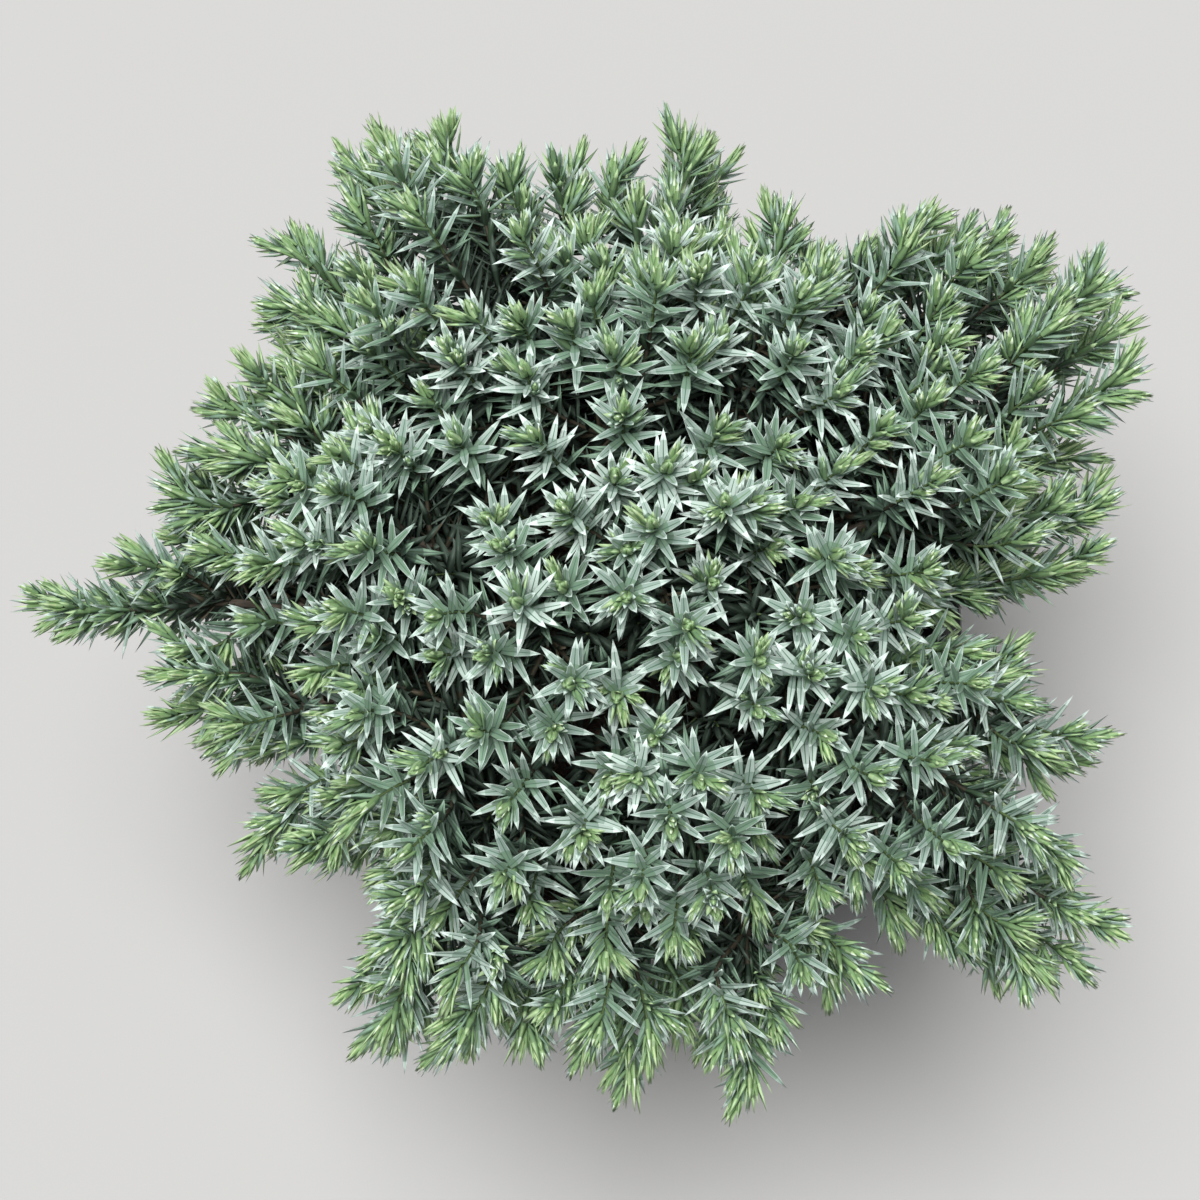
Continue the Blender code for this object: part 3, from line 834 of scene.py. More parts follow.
class Kind(Enum):
    """The kinds of needle."""

    MATURE = NeedleLook(
        STAR_BLADE,
        (Tone.BAND_GREEN, Tone.BAND, Tone.BAND_PALE),
        (Tone.MIDRIB, Tone.MIDRIB, Tone.BAND),
        (Tone.BACK, Tone.BACK_BLUE, Tone.BAND_GREEN),
    )
    PALE = NeedleLook(
        STAR_BLADE,
        (Tone.BAND, Tone.BAND_PALE, Tone.TIP),
        (Tone.MIDRIB, Tone.MIDRIB, Tone.BAND_PALE),
        (Tone.BACK_BLUE, Tone.BACK_BLUE, Tone.BAND),
    )
    GREEN = NeedleLook(
        STAR_BLADE,
        (Tone.BAND_GREEN, Tone.BAND_GREEN, Tone.BAND),
        (Tone.MIDRIB, Tone.MIDRIB, Tone.BAND_GREEN),
        (Tone.BACK, Tone.BACK, Tone.YOUNG_LINE),
    )
    INNER = NeedleLook(
        STAR_BLADE,
        (Tone.BAND_GREEN, Tone.BAND, Tone.BAND_PALE),
        (Tone.BACK, Tone.BACK_BLUE, Tone.BAND),
        (Tone.BACK, Tone.YOUNG_BLUE, Tone.YOUNG_LINE),
    )
    SILVER = NeedleLook(
        LINED_BLADE,
        (Tone.BAND_GREEN, Tone.BAND, Tone.BAND_PALE),
        (Tone.BACK_BLUE, Tone.MIDRIB, Tone.BAND),
        (Tone.BACK_BLUE, Tone.BACK_BLUE, Tone.BAND_GREEN),
    )
    SHEATH = NeedleLook(
        SLIM_BLADE,
        (Tone.BAND_GREEN, Tone.BAND_GREEN, Tone.YOUNG_LINE),
        (Tone.YOUNG_BLUE, Tone.YOUNG_BLUE, Tone.YOUNG_LINE),
        (Tone.BACK_BLUE, Tone.BACK_BLUE, Tone.YOUNG_BLUE),
    )
    CORE = NeedleLook(
        BRUSH_BLADE,
        (Tone.BAND_GREEN, Tone.BAND, Tone.BAND_PALE),
        (Tone.YOUNG_BLUE, Tone.BACK_BLUE, Tone.YOUNG_LINE),
        (Tone.BACK_BLUE, Tone.BACK_BLUE, Tone.BAND_GREEN),
    )
    YOUNG = NeedleLook(
        BRUSH_BLADE,
        (Tone.BAND_GREEN, Tone.BAND_GREEN, Tone.BAND_PALE),
        (Tone.YOUNG_BLUE, Tone.YOUNG_LINE, Tone.TIP),
        (Tone.YOUNG_BLUE, Tone.YOUNG, Tone.YOUNG_TIP),
    )
    LIME = NeedleLook(
        BRUSH_BLADE,
        (Tone.YOUNG, Tone.YOUNG_LINE, Tone.YOUNG_LINE),
        (Tone.YOUNG_LINE, Tone.YOUNG_TIP, Tone.YOUNG_TIP),
        (Tone.YOUNG_BLUE, Tone.YOUNG, Tone.BUD_LINE),
    )
    SIDE_BUD = NeedleLook(
        SLIM_BLADE,
        (Tone.YOUNG, Tone.BUD, Tone.BUD_LINE),
        (Tone.YOUNG_LINE, Tone.BUD_LINE, Tone.YOUNG_LINE),
        (Tone.YOUNG_BLUE, Tone.BUD, Tone.BUD),
    )
    BUD = NeedleLook(
        BUD_BLADE,
        (Tone.YOUNG, Tone.BUD, Tone.BUD_LINE),
        (Tone.YOUNG_LINE, Tone.BUD_LINE, Tone.BUD_LINE),
        (Tone.YOUNG_BLUE, Tone.BUD, Tone.YOUNG),
    )
    FADED = NeedleLook(
        LINED_BLADE,
        (Tone.BAND_DEEP, Tone.BAND_DEEP, Tone.BAND_GREEN),
        (Tone.BACK_DEEP, Tone.BACK_DEEP, Tone.BAND_DEEP),
        (Tone.BACK_DEEP, Tone.BACK_DEEP, Tone.BACK_DEEP),
    )
    # Old needles deep in the crown and on the stems, dark partly as painted shade; the dry ones below are backed
    # with the same dark tones.
    DULL = NeedleLook(
        THIN_BLADE,
        (Tone.OLD_LINE, Tone.OLD_LINE, Tone.OLD_LINE),
        (Tone.OLD, Tone.OLD, Tone.OLD),
        (Tone.OLD, Tone.OLD, Tone.OLD_LINE),
    )
    DRY = NeedleLook(
        THIN_BLADE,
        (Tone.DRY, Tone.DRY, Tone.OLD_LINE),
        (Tone.DRY, Tone.DRY, Tone.DRY),
        (Tone.OLD, Tone.OLD, Tone.DRY),
    )


def placed(name: str, data: bpy.types.ID) -> bpy.types.Object:
    """Makes an object of new data and puts it into the scene."""
    obj = bpy.data.objects.new(name, data)
    bpy.context.scene.collection.objects.link(obj)
    return obj


@dataclass
class Needles:
    """Needles of one bough, gathered kind by kind until they are made into a mesh."""

    rows: dict[Kind, list[tuple[float, ...]]] = field(default_factory=lambda: {kind: [] for kind in Kind})

    def add(self, kind: Kind, root: Vector, way: Vector, over: Vector, size: tuple[float, float, float]) -> None:
        """Adds one needle.

        Args:
            kind: Its kind.
            root: Where it stands.
            way: The direction that it points in.
            over: The direction that its upper face looks in.
            size: Its length, its width, and how far its tip bends towards over, as a share of its length.
        """
        self.rows[kind].append((*root, *way, *over, *size))

    def triangles(self) -> int:
        """How many triangles the needles make."""
        return sum(len(rows) * len(kind.value.blade.faces()[0]) for kind, rows in self.rows.items())


@dataclass
class JoinedMesh:
    """Many small shapes as one mesh: points, triangles and their tones."""

    points: list[np.ndarray] = field(default_factory=list)
    faces: list[np.ndarray] = field(default_factory=list)
    tones: list[np.ndarray] = field(default_factory=list)
    count: int = 0

    def add(self, points: np.ndarray, faces: np.ndarray, tones: np.ndarray) -> None:
        """Adds a shape.

        Args:
            points: Its points, one row each.
            faces: Its triangles, numbered from its own first point.
            tones: The material number of each triangle.
        """
        self.points.append(points)
        self.faces.append(faces + self.count)
        self.tones.append(tones)
        self.count += len(points)

    def add_needles(self, needles: Needles) -> None:
        """Adds gathered needles: each blade is turned, scaled, bent and set on its root."""
        for kind, rows in needles.rows.items():
            if not rows:
                continue
            root, way, over, length, width, bend = np.split(np.array(rows), (3, 6, 9, 10, 11), axis=1)
            side = np.cross(way, over)
            side /= np.linalg.norm(side, axis=1, keepdims=True)
            face = np.cross(side, way)
            blade = kind.value.blade.points()
            across, along, above = blade[:, 0], blade[:, 1], blade[:, 2]
            points = (
                root[:, None, :]
                + side[:, None, :] * (width * across)[:, :, None]
                + way[:, None, :] * (length * along)[:, :, None]
                + face[:, None, :] * (width * above + length * bend * along * along)[:, :, None]
            )
            triangles = kind.value.blade.faces()[0]
            offsets = np.arange(len(rows)) * len(blade)
            faces = triangles[None, :, :] + offsets[:, None, None]
            tones = np.tile(kind.value.tones(), len(rows))
            self.add(points.reshape(-1, 3), faces.reshape(-1, 3), tones)

    def add_tube(self, path: Sequence[Vector], radii: Sequence[float], sides: int, tone: Tone) -> None:
        """Adds a tapering tube with a pointed end.

        Args:
            path: The middle line's points.
            radii: The radius at each.
            sides: How many sides it has.
            tone: Its colour.
        """
        middle = np.array(path)
        run = np.gradient(middle, axis=0)
        run /= np.linalg.norm(run, axis=1, keepdims=True)
        helper = np.array((0.0, 0.0, 1.0)) if abs(run[0][2]) < 0.9 else np.array((1.0, 0.0, 0.0))
        first = np.cross(run, helper)
        first /= np.linalg.norm(first, axis=1, keepdims=True)
        second = np.cross(run, first)
        angles = np.arange(sides) * 2 * np.pi / sides
        ring = np.cos(angles)[None, :, None] * first[:, None, :] + np.sin(angles)[None, :, None] * second[:, None, :]
        points = (middle[:, None, :] + ring * np.array(radii)[:, None, None]).reshape(-1, 3)
        faces = []
        for row in range(len(path) - 1):
            for k in range(sides):
                a, b = row * sides + k, row * sides + (k + 1) % sides
                faces += [(a, b + sides, b), (a, a + sides, b + sides)]
        end = len(points)
        last = (len(path) - 1) * sides
        faces += [(last + k, end, last + (k + 1) % sides) for k in range(sides)]
        points = np.vstack([points, middle[-1] + run[-1] * radii[-1]])
        self.add(points, np.array(faces), np.full(len(faces), TONES.index(tone)))

    def build(self, name: str, materials: Materials) -> bpy.types.Object:
        """Makes the object.

        Args:
            name: Its name.
            materials: Its material slots.

        Returns:
            The new object, in the scene.
        """
        points, faces, tones = np.vstack(self.points), np.vstack(self.faces), np.concatenate(self.tones)
        mesh = bpy.data.meshes.new(name)
        mesh.vertices.add(len(points))
        mesh.vertices.foreach_set("co", points.astype(np.float32).ravel())
        mesh.loops.add(faces.size)
        mesh.loops.foreach_set("vertex_index", faces.astype(np.int32).ravel())
        mesh.polygons.add(len(faces))
        mesh.polygons.foreach_set("loop_start", np.arange(0, faces.size, 3, dtype=np.int32))
        used, slots = np.unique(tones, return_inverse=True)
        for number in used:
            mesh.materials.append(materials[number])
        mesh.polygons.foreach_set("material_index", slots.astype(np.int32))
        mesh.update(calc_edges=True)
        mesh.validate()
        return placed(name, mesh)


@dataclass(frozen=True)
class Change:
    """A change that sets in somewhere: what it comes to, where it starts and the length that it takes."""

    amount: float
    start: float
    length: float

    def at(self, value: float) -> float:
        """How much of the change there is at a value."""
        return self.amount * min(max((value - self.start) / self.length, 0.0), 1.0)


@dataclass(frozen=True)
class Trait:
    """A number that depends on how far a shoot faces up: 1 on top of the crown, 0 at its rim."""

    base: float
    on_top: float = 0.0
    at_rim: float = 0.0

    def at(self, facing: float) -> float:
        """The number for a shoot."""
        return self.base + self.on_top * facing + self.at_rim * (1 - facing)


@dataclass(frozen=True)
class Habit:
    """How the needles of one shoot stand, from its tip backwards: closed young growth, then an open star.

    Angles are in degrees. Lengths and widths of needles are given as shares of those of a full-grown one.
    """

    opening: float
    length: float
    width: float
    young: float
    fresh: float
    tint: float
    fan: float = 17.0
    first: float = 0.5
    closer: float = 1.0
    unrest: float = 0.05
    inside: bool = False
    closed_angle: float = 7.0
    open_angle: float = 72.0
    open_power: float = 0.8
    opens: Change = Change(1.0, 0.0, 0.0050)
    folds: Change = Change(20.0, 0.0075, 0.006)
    early_gain: float = 0.30
    early_length: float = 0.003
    early_most: float = 0.88
    late_gain: float = 0.20
    late_length: float = 0.0025
    late_most: float = 0.12
    shortens: Change = Change(0.10, 0.011, 0.016)
    tip_breadth: float = 0.74
    breadth_gain: float = 0.26
    breadth_length: float = 0.0016
    slims: Change = Change(0.14, 0.006, 0.004)
    bend: float = 0.10
    bend_length: float = 0.005
    bend_most: float = 1.2
    apart: float = 0.0011
    parts: Change = Change(0.0008, 0.0, 0.006)
    old_parts: Change = Change(0.0007, 0.012, 0.010)
    faded_length: float = 0.007
    dry_share: float = 0.09
    lime_below: float = 0.36
    lime_part: float = 0.7
    inner_length: float = 0.0018
    green_below: float = 0.20
    pale_above: float = 0.60

    def spread(self, back: float) -> float:
        """The angle between needle and shoot at a distance behind the tip, in radians."""
        past = max(back - self.young, 0.0)
        closed = self.closed_angle + self.fan * (min(back / self.young, 1.0) if self.young else 1.0)
        opened = self.opens.at(past) ** self.open_power
        spread = closed + (self.open_angle * self.opening - closed) * opened
        return math.radians(spread - self.folds.at(past) * self.opening)

    def size(self, back: float) -> tuple[float, float, float]:
        """The length, width and bend of a needle at a distance behind the tip."""
        past = max(back - self.young, 0.0)
        grown = min(self.first + self.early_gain * back / self.early_length, self.early_most)
        grown += min(self.late_gain * past / self.late_length, self.late_most)
        grown -= self.shortens.at(past)
        broad = min(self.tip_breadth + self.breadth_gain * back / (self.young + self.breadth_length), 1.0)
        width = self.width * (broad - self.slims.at(past))
        bend = self.bend - self.bend * min(past / self.bend_length, self.bend_most)
        return self.length * grown, width, bend

    def step(self, back: float) -> float:
        """The distance to the next whorl."""
        return (self.apart + self.parts.at(back)) * self.closer + self.old_parts.at(back - self.young)

    def kind(self, back: float, chance: random.Random) -> Kind:
        """The kind of needle at a distance behind the tip.

        Args:
            back: The distance.
            chance: The shoot's own chances.

        Returns:
            The kind.
        """
        past = back - self.young
        # Needles far back and inside the crown take the dull tones that are partly painted shade.
        if self.inside or past > self.fresh + self.faded_length:
            return Kind.DRY if chance.random() < self.dry_share else Kind.DULL
        if past > self.fresh:
            return Kind.FADED
        if past < 0:
            lime = self.tint < self.lime_below and back < self.lime_part * self.young
            return Kind.LIME if lime else Kind.YOUNG
        if past < self.inner_length:
            return Kind.INNER
        if self.tint < self.green_below:
            return Kind.GREEN
        return Kind.PALE if self.tint > self.pale_above else Kind.MATURE


@dataclass(frozen=True)
class MainHabit:
    """What the habits of main shoots follow. A pair of numbers is a range that chance picks from."""

    longest: float = 0.0084
    widest: float = 0.00186
    opening: Trait = Trait(0.80, on_top=0.20)
    opening_swing: Range = (-0.05, 0.05)
    length: Trait = Trait(1.10, on_top=-0.10)
    length_swing: Range = (0.94, 1.06)
    young: Trait = Trait(0.0006, at_rim=0.0038)
    young_swing: Range = (0.0, 0.0022)
    fresh: float = 0.0085
    fresh_swing: Range = (-0.001, 0.002)
    fan: Trait = Trait(17, at_rim=18)
    first: Trait = Trait(0.78, on_top=-0.32)
    tint: Trait = Trait(0.70, on_top=0.30)
    closer: Trait = Trait(1.12, on_top=-0.12)
    unrest: Trait = Trait(0.11, on_top=-0.06)

    def habit(self, facing: float, chance: random.Random) -> Habit:
        """The habit of one shoot.

        Args:
            facing: How far the shoot faces up.
            chance: The shoot's own chances.

        Returns:
            The habit.
        """
        return Habit(
            opening=self.opening.at(facing) + chance.uniform(*self.opening_swing),
            length=self.longest * self.length.at(facing) * chance.uniform(*self.length_swing),
            width=self.widest,
            young=self.young.at(facing) + chance.uniform(*self.young_swing),
            fresh=self.fresh + chance.uniform(*self.fresh_swing),
            fan=self.fan.at(facing),
            first=self.first.at(facing),
            tint=chance.random() * self.tint.at(facing),
            closer=self.closer.at(facing),
            unrest=self.unrest.at(facing),
        )


@dataclass(frozen=True)
class SideHabit:
    """The sizes of the short side shoots. A pair of numbers is a range that chance picks from."""

    counts: tuple[int, ...] = (1, 2, 2, 3)
    more_at_rim: int = 3
    start: float = 0.0020
    start_swing: float = 0.0012
    apart: Range = (0.0018, 0.0044)
    length: Range = (0.0026, 0.0048)
    longer_at_rim: Range = (0.0010, 0.0052)
    leave: Range = (34, 50)
    straighten: Range = (0.2, 0.7)
    arch: float = 0.35
    ease: float = 0.3
    steps: int = 4
    size: Range = (0.78, 1.0)
    thinner: float = 0.0001
    bud_foot: float = 0.0005
    bud_spread: float = -0.06
    bud_length: float = 0.0050
    bud_width: float = 0.0015
    bud_bend: float = 0.10
    lime_share: Trait = Trait(0.50, on_top=-0.28)
    core_share: Trait = Trait(0.0, on_top=0.75)
    tip_room: float = 0.0005
    foot_room: float = 0.0004
    whorls_apart: float = 0.0014
    foot: float = 0.00045
    first_length: float = 0.0058
    next_longer: float = 0.0007
    longest: float = 0.0078
    needle_width: float = 0.00168
    needle_bend: float = 0.05
    unrest: float = 0.07
    uneven: Range = (0.88, 1.08)
    closed_angle: float = 5
    row_angle: Trait = Trait(9, on_top=-3)
    open_angle: Trait = Trait(46, on_top=-14)
    silver_share: float = 0.55
    inner_share: float = 0.35
    rim_below: float = 0.5
    least_points: int = 4

    def opening(self, row: int, facing: float) -> float:
        """The angle of a whorl's needles in degrees, for its row from the tip and how far the shoot faces up."""
        return min(self.closed_angle + self.row_angle.at(facing) * row, self.open_angle.at(facing))

    def newest(self, facing: float, chance: random.Random) -> Kind:
        """The kind of the newest needles.

        Args:
            facing: How far the shoot faces up.
            chance: The shoot's own chances.

        Returns:
            The kind.
        """
        if chance.random() < self.lime_share.at(facing):
            return Kind.LIME
        return Kind.CORE if chance.random() < self.core_share.at(facing) else Kind.YOUNG

    def kind(self, row: int, newest: Kind, chance: random.Random) -> Kind:
        """The kind of needle in a whorl.

        Args:
            row: The whorl, counted from the tip.
            newest: The kind of the newest needles.
            chance: The shoot's own chances.

        Returns:
            The kind.
        """
        if row < 2:
            return newest
        bright, share = (Kind.INNER, self.inner_share) if row == 2 else (Kind.SILVER, self.silver_share)
        return bright if chance.random() < share else Kind.SHEATH


@dataclass
class Task:
    """One shoot at work, its own chances, and what takes its needles and twigs.

    Its path is even and has the tip first. Facing is how far it faces up: 1 on top of the crown, 0 at its rim.
    """

    path: list[Vector]
    chance: random.Random
    facing: float
    needles: Needles
    twigs: JoinedMesh


@dataclass
class Spray:
    """Sets the needles on one shoot, from its closed bud back to the old needles near its fork."""

    crown: Crown
    whorl: int = 3
    seeds: float = 1e6
    step: float = 0.0006
    end_steps: float = 2.001
    advance: float = 0.0003
    pot_room: float = 0.001
    twist: float = 0.55
    faces_up: Change = Change(1.0, 0.15, 0.55)
    tip_room: float = 0.0009
    foot_room: float = 0.001
    foot: float = 0.00035
    turn_unrest: float = 0.08
    angle_unrest: float = 0.18
    open_unrest: float = 0.12
    spreads: Range = (0.08, 1.50)
    uneven_length: Range = (0.86, 1.10)
    uneven_width: Range = (0.88, 1.08)
    bud_rows: tuple[tuple[float, float, float], ...] = ((-7, 0.0032, 0.00050), (-2, 0.0040, 0.00095))
    bud_step: float = 0.0006
    bud_width: float = 0.0019
    bud_bend: float = 0.14
    bud_uneven: Range = (0.93, 1.07)
    green_steps: int = 18
    green_every: int = 3
    brown_every: int = 7
    green_radii: Range = (0.00034, 0.00026)
    brown_radii: Range = (0.00062, 0.00034)
    old: Habit = Habit(opening=0.95, length=0.0086, width=0.0018, young=0.0, fresh=0.0, tint=0.5, inside=True)
    main: MainHabit = MainHabit()
    side: SideHabit = SideHabit()

    def grow(self, shoot: Shoot, needles: Needles, twigs: JoinedMesh) -> None:
        """Sets a shoot's needles, its twig and its side shoots.

        Args:
            shoot: The shoot.
            needles: Takes the needles.
            twigs: Takes the twigs.
        """
        chance = random.Random(int(shoot.turn * self.seeds) + shoot.order)
        inside = self.crown.layers[shoot.order].inside
        path = self._resampled(shoot.path if inside else shoot.path + [shoot.tip + shoot.way * self.advance])
        task = Task(path, chance, self.faces_up.at(shoot.way.z), needles, twigs)
        self._twig(path, twigs)
        if inside:
            self._whorls(task, self.old)
            return
        self._bud(task, shoot.way)
        self._whorls(task, self.main.habit(task.facing, chance))
        side = self.side
        back = side.start + chance.uniform(0, side.start_swing)
        for _ in range(chance.choice(side.counts) + side.more_at_rim * (task.facing < side.rim_below)):
            self._side_shoot(task, back)
            back += chance.uniform(*side.apart)

    def _resampled(self, path: Sequence[Vector]) -> list[Vector]:
        """A path's points at even steps, the tip first.

        Args:
            path: The path, the tip last.

        Returns:
            The points.
        """
        points = np.array([tuple(point) for point in reversed(path)])
        runs = runs_along(points)
        marks = np.arange(0.0, runs[-1], self.step)
        return [Vector([float(np.interp(mark, runs, points[:, k])) for k in range(3)]) for mark in marks]

    def _at(self, path: Sequence[Vector], back: float) -> tuple[Vector, Vector]:
        """The point and the direction of a path at a distance back from its tip.

        Args:
            path: The even path, the tip first.
            back: The distance.

        Returns:
            The point and the direction towards the tip.
        """
        place = min(max(back / self.step, 1.0), len(path) - self.end_steps)
        k = int(place)
        return path[k].lerp(path[k + 1], place - k), (path[k - 1] - path[k + 1]).normalized()

    def _twig(self, path: Sequence[Vector], twigs: JoinedMesh, thinner: float = 0.0) -> None:
        """Adds a shoot's own twig, green near its tip and brown behind, the brown darkened partly as painted shade.

        Args:
            path: The even path, the tip first.
            twigs: Takes the twig.
            thinner: How much thinner than a main shoot's twig it is.
        """
        green = min(self.green_steps, len(path) - 1)
        young = list(reversed(path[: green + 1 : self.green_every]))
        old = list(reversed(path[green :: self.brown_every]))
        if len(young) > 1:
            radii = [radius - thinner for radius in self.green_radii]
            twigs.add_tube(young, np.linspace(*radii, len(young)), 3, Tone.TWIG_GREEN)
        if len(old) > 1:
            twigs.add_tube(old, np.linspace(*self.brown_radii, len(old)), 4, Tone.TWIG_BROWN)

    def angles(self, turn: float, row: int = 0) -> list[float]:
        """The angles of a whorl's needles round their shoot, for a turn and for the whorl's row from the tip."""
        return [turn + 2 * math.pi * (k + 0.5 * row) / self.whorl for k in range(self.whorl)]

    def set_needle(
        self,
        needles: Needles,
        kind: Kind,
        root: tuple[Vector, Vector, float],
        angle: float,
        spread: float,
        size: tuple[float, float, float],
    ) -> None:
        """Sets one needle on a shoot, unless it would reach into the pot.

        Args:
            needles: Takes the needle.
            kind: Its kind.
            root: The point on the shoot's middle line, the shoot's direction and its radius there.
            angle: Where round the shoot it stands.
            spread: Its angle from the shoot.
            size: Its length, width and bend.
        """
        middle, axis, radius = root
        out = outward(axis, angle)
        way = out * math.sin(spread) + axis * math.cos(spread)
        over = axis * math.sin(spread) - out * math.cos(spread) + Vector((0.0, 0.0, self.twist))
        foot = middle + out * radius
        if self.crown.over_pot(foot + way * size[0], self.pot_room):
            needles.add(kind, foot, way, over, size)

    def _bud(self, task: Task, axis: Vector) -> None:
        """Sets the closed bud of small folded needles at a main shoot's tip.

        Args:
            task: The shoot at work.
            axis: The shoot's direction.
        """
        turn = task.chance.uniform(0, 2 * math.pi)
        for row, (spread, length, radius) in enumerate(self.bud_rows):
            for angle in self.angles(turn, row):
                root = (task.path[0] - axis * self.bud_step * row, axis, radius)
                shape = (length * task.chance.uniform(*self.bud_uneven), self.bud_width, self.bud_bend)
                self.set_needle(task.needles, Kind.BUD, root, angle, math.radians(spread), shape)

    def _whorls(self, task: Task, habit: Habit) -> None:
        """Sets whorls of three along a shoot.

        Args:
            task: The shoot at work.
            habit: How its needles stand.
        """
        chance = task.chance
        length = self.step * (len(task.path) - 1)
        back = self.tip_room
        turn = chance.uniform(0, 2 * math.pi)
        narrowest, widest = self.spreads
        while back < length - self.foot_room:
            middle, axis = self._at(task.path, back)
            kind = habit.kind(back, chance)
            for angle in self.angles(turn):
                angle += chance.gauss(0, self.angle_unrest)
                grown, width, bend = habit.size(back)
                grown *= chance.uniform(*self.uneven_length)
                shape = (grown, width * chance.uniform(*self.uneven_width), bend)
                unrest = habit.unrest if back < habit.young else self.open_unrest
                spread = min(max(habit.spread(back) + chance.gauss(0, unrest), narrowest), widest)
                self.set_needle(task.needles, kind, (middle, axis, self.foot), angle, spread, shape)
            turn += math.pi / self.whorl + chance.gauss(0, self.turn_unrest)
            back += habit.step(back)

    def _side_shoot(self, task: Task, back: float) -> None:
        """Sets a short side shoot: a closed bright brush that curves to the main shoot's direction.

        Args:
            task: The main shoot at work.
            back: How far behind the tip it stands.
        """
        side, chance, facing = self.side, task.chance, task.facing
        middle, axis = self._at(task.path, back)
        turn = chance.uniform(0, 2 * math.pi)
        out = outward(axis, turn)
        length = chance.uniform(*side.length) + (1 - facing) * chance.uniform(*side.longer_at_rim)
        spread = math.radians(chance.uniform(*side.leave))
        leave = out * math.sin(spread) + axis * math.cos(spread)
        way = (leave + axis * chance.uniform(*side.straighten)).normalized()
        tip = middle + (leave + way).normalized() * length
        if not self.crown.over_pot(tip):
            return
        handles = middle + leave * length * side.arch, tip - way * length * side.ease
        stalk = self._resampled(bezier(middle, *handles, tip, side.steps))
        if len(stalk) < side.least_points:
            return
        size = chance.uniform(*side.size)
        self._twig(stalk, task.twigs, side.thinner)
        for angle in self.angles(turn):
            shape = (side.bud_length * size, side.bud_width * size, side.bud_bend)
            self.set_needle(task.needles, Kind.SIDE_BUD, (tip, way, side.bud_foot), angle, side.bud_spread, shape)
        newest = side.newest(facing, chance)
        row = 0
        while side.tip_room + side.whorls_apart * row < length - side.foot_room:
            place, along = self._at(stalk, side.tip_room + side.whorls_apart * row)
            full = min(side.first_length + side.next_longer * row, side.longest)
            opening = math.radians(side.opening(row, facing))
            for angle in self.angles(turn, row):
                angle += chance.gauss(0, side.unrest)
                shape = (full * size * chance.uniform(*side.uneven), side.needle_width * size, side.needle_bend)
                spread = opening + chance.gauss(0, side.unrest)
                kind = side.kind(row, newest, chance)
                self.set_needle(task.needles, kind, (place, along, side.foot), angle, spread, shape)
            row += 1


@dataclass
class Foliage:
    """All needles and twigs of the crown, joined into a few pieces."""

    crown: Crown
    most: int = 175_000
    stem_start: float = 0.001
    stem_step: float = 0.0018
    stem_turn: float = 900
    stem_unrest: float = 0.2
    stem_foot: float = 0.0009
    stem_spread: Range = (0.9, 1.35)
    stem_length: Range = (0.0055, 0.0080)
    stem_width: float = 0.0016
    stem_bend: float = -0.02
    dry_share: float = 0.12
    dry_more_below: float = 0.4

    def build(self, materials: Materials) -> list[bpy.types.Object]:
        """Grows the crown and makes its pieces. Together they stand for the masses.

        Args:
            materials: One material for each tone.

        Returns:
            The pieces.
        """
        shoots = self.crown.grow()
        LOG.info("shoots: %s", [[shoot.order for shoot in shoots].count(k) for k in range(len(self.crown.layers))])
        spray = Spray(self.crown)
        twigs = JoinedMesh()
        pieces, held, names, count = [], JoinedMesh(), [], 0
        for bough in self.crown.boughs:
            needles = Needles()
            for shoot in shoots:
                if shoot.bough is bough:
                    spray.grow(shoot, needles, twigs)
            self._clothe_stem(spray, bough, needles)
            if names and count + needles.triangles() > self.most:
                pieces.append(self._finish(held, names, len(pieces) + 1, materials))
                held, names, count = JoinedMesh(), [], 0
            held.add_needles(needles)
            names.append(f"foliage_{bough.name}")
            count += needles.triangles()
        pieces.append(self._finish(held, names, len(pieces) + 1, materials))
        stems = twigs.build("twigs", materials)
        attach(stems, "root")
        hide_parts(*(f"foliage_{bough.name}" for bough in self.crown.boughs))
        return pieces + [stems]

    def _clothe_stem(self, spray: Spray, bough: Bough, needles: Needles) -> None:
        """Sets old needles along the stem itself, whose dull tones are partly painted shade.

        Args:
            spray: Sets the needles.
            bough: The bough whose stem it is.
            needles: Takes the needles.
        """
        chance = random.Random(bough.name)
        foot, top = bough.stem_ends()
        length = (top - foot).length
        back = self.stem_start
        while back < length:
            root = (top.lerp(foot, back / length), bough.axis, self.stem_foot)
            for angle in spray.angles(back * self.stem_turn):
                angle += chance.gauss(0, self.stem_unrest)
                dry = chance.random() < self.dry_share + self.dry_more_below * back / length
                size = (chance.uniform(*self.stem_length), self.stem_width, self.stem_bend)
                spread = chance.uniform(*self.stem_spread)
                spray.set_needle(needles, Kind.DRY if dry else Kind.DULL, root, angle, spread, size)
            back += self.stem_step

    @staticmethod
    def _finish(held: JoinedMesh, names: Sequence[str], number: int, materials: Materials) -> bpy.types.Object:
        """Makes one piece of needles.

        Args:
            held: Its needles.
            names: The masses that it stands for.
            number: Its number.
            materials: One material for each tone.

        Returns:
            The piece.
        """
        piece = held.build(f"needles_{number}", materials)
        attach(piece, "root")
        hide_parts(*names)
        LOG.info("%s: %d triangles for %d masses", piece.name, len(piece.data.polygons), len(names))
        return piece


# Wood, pot and mix


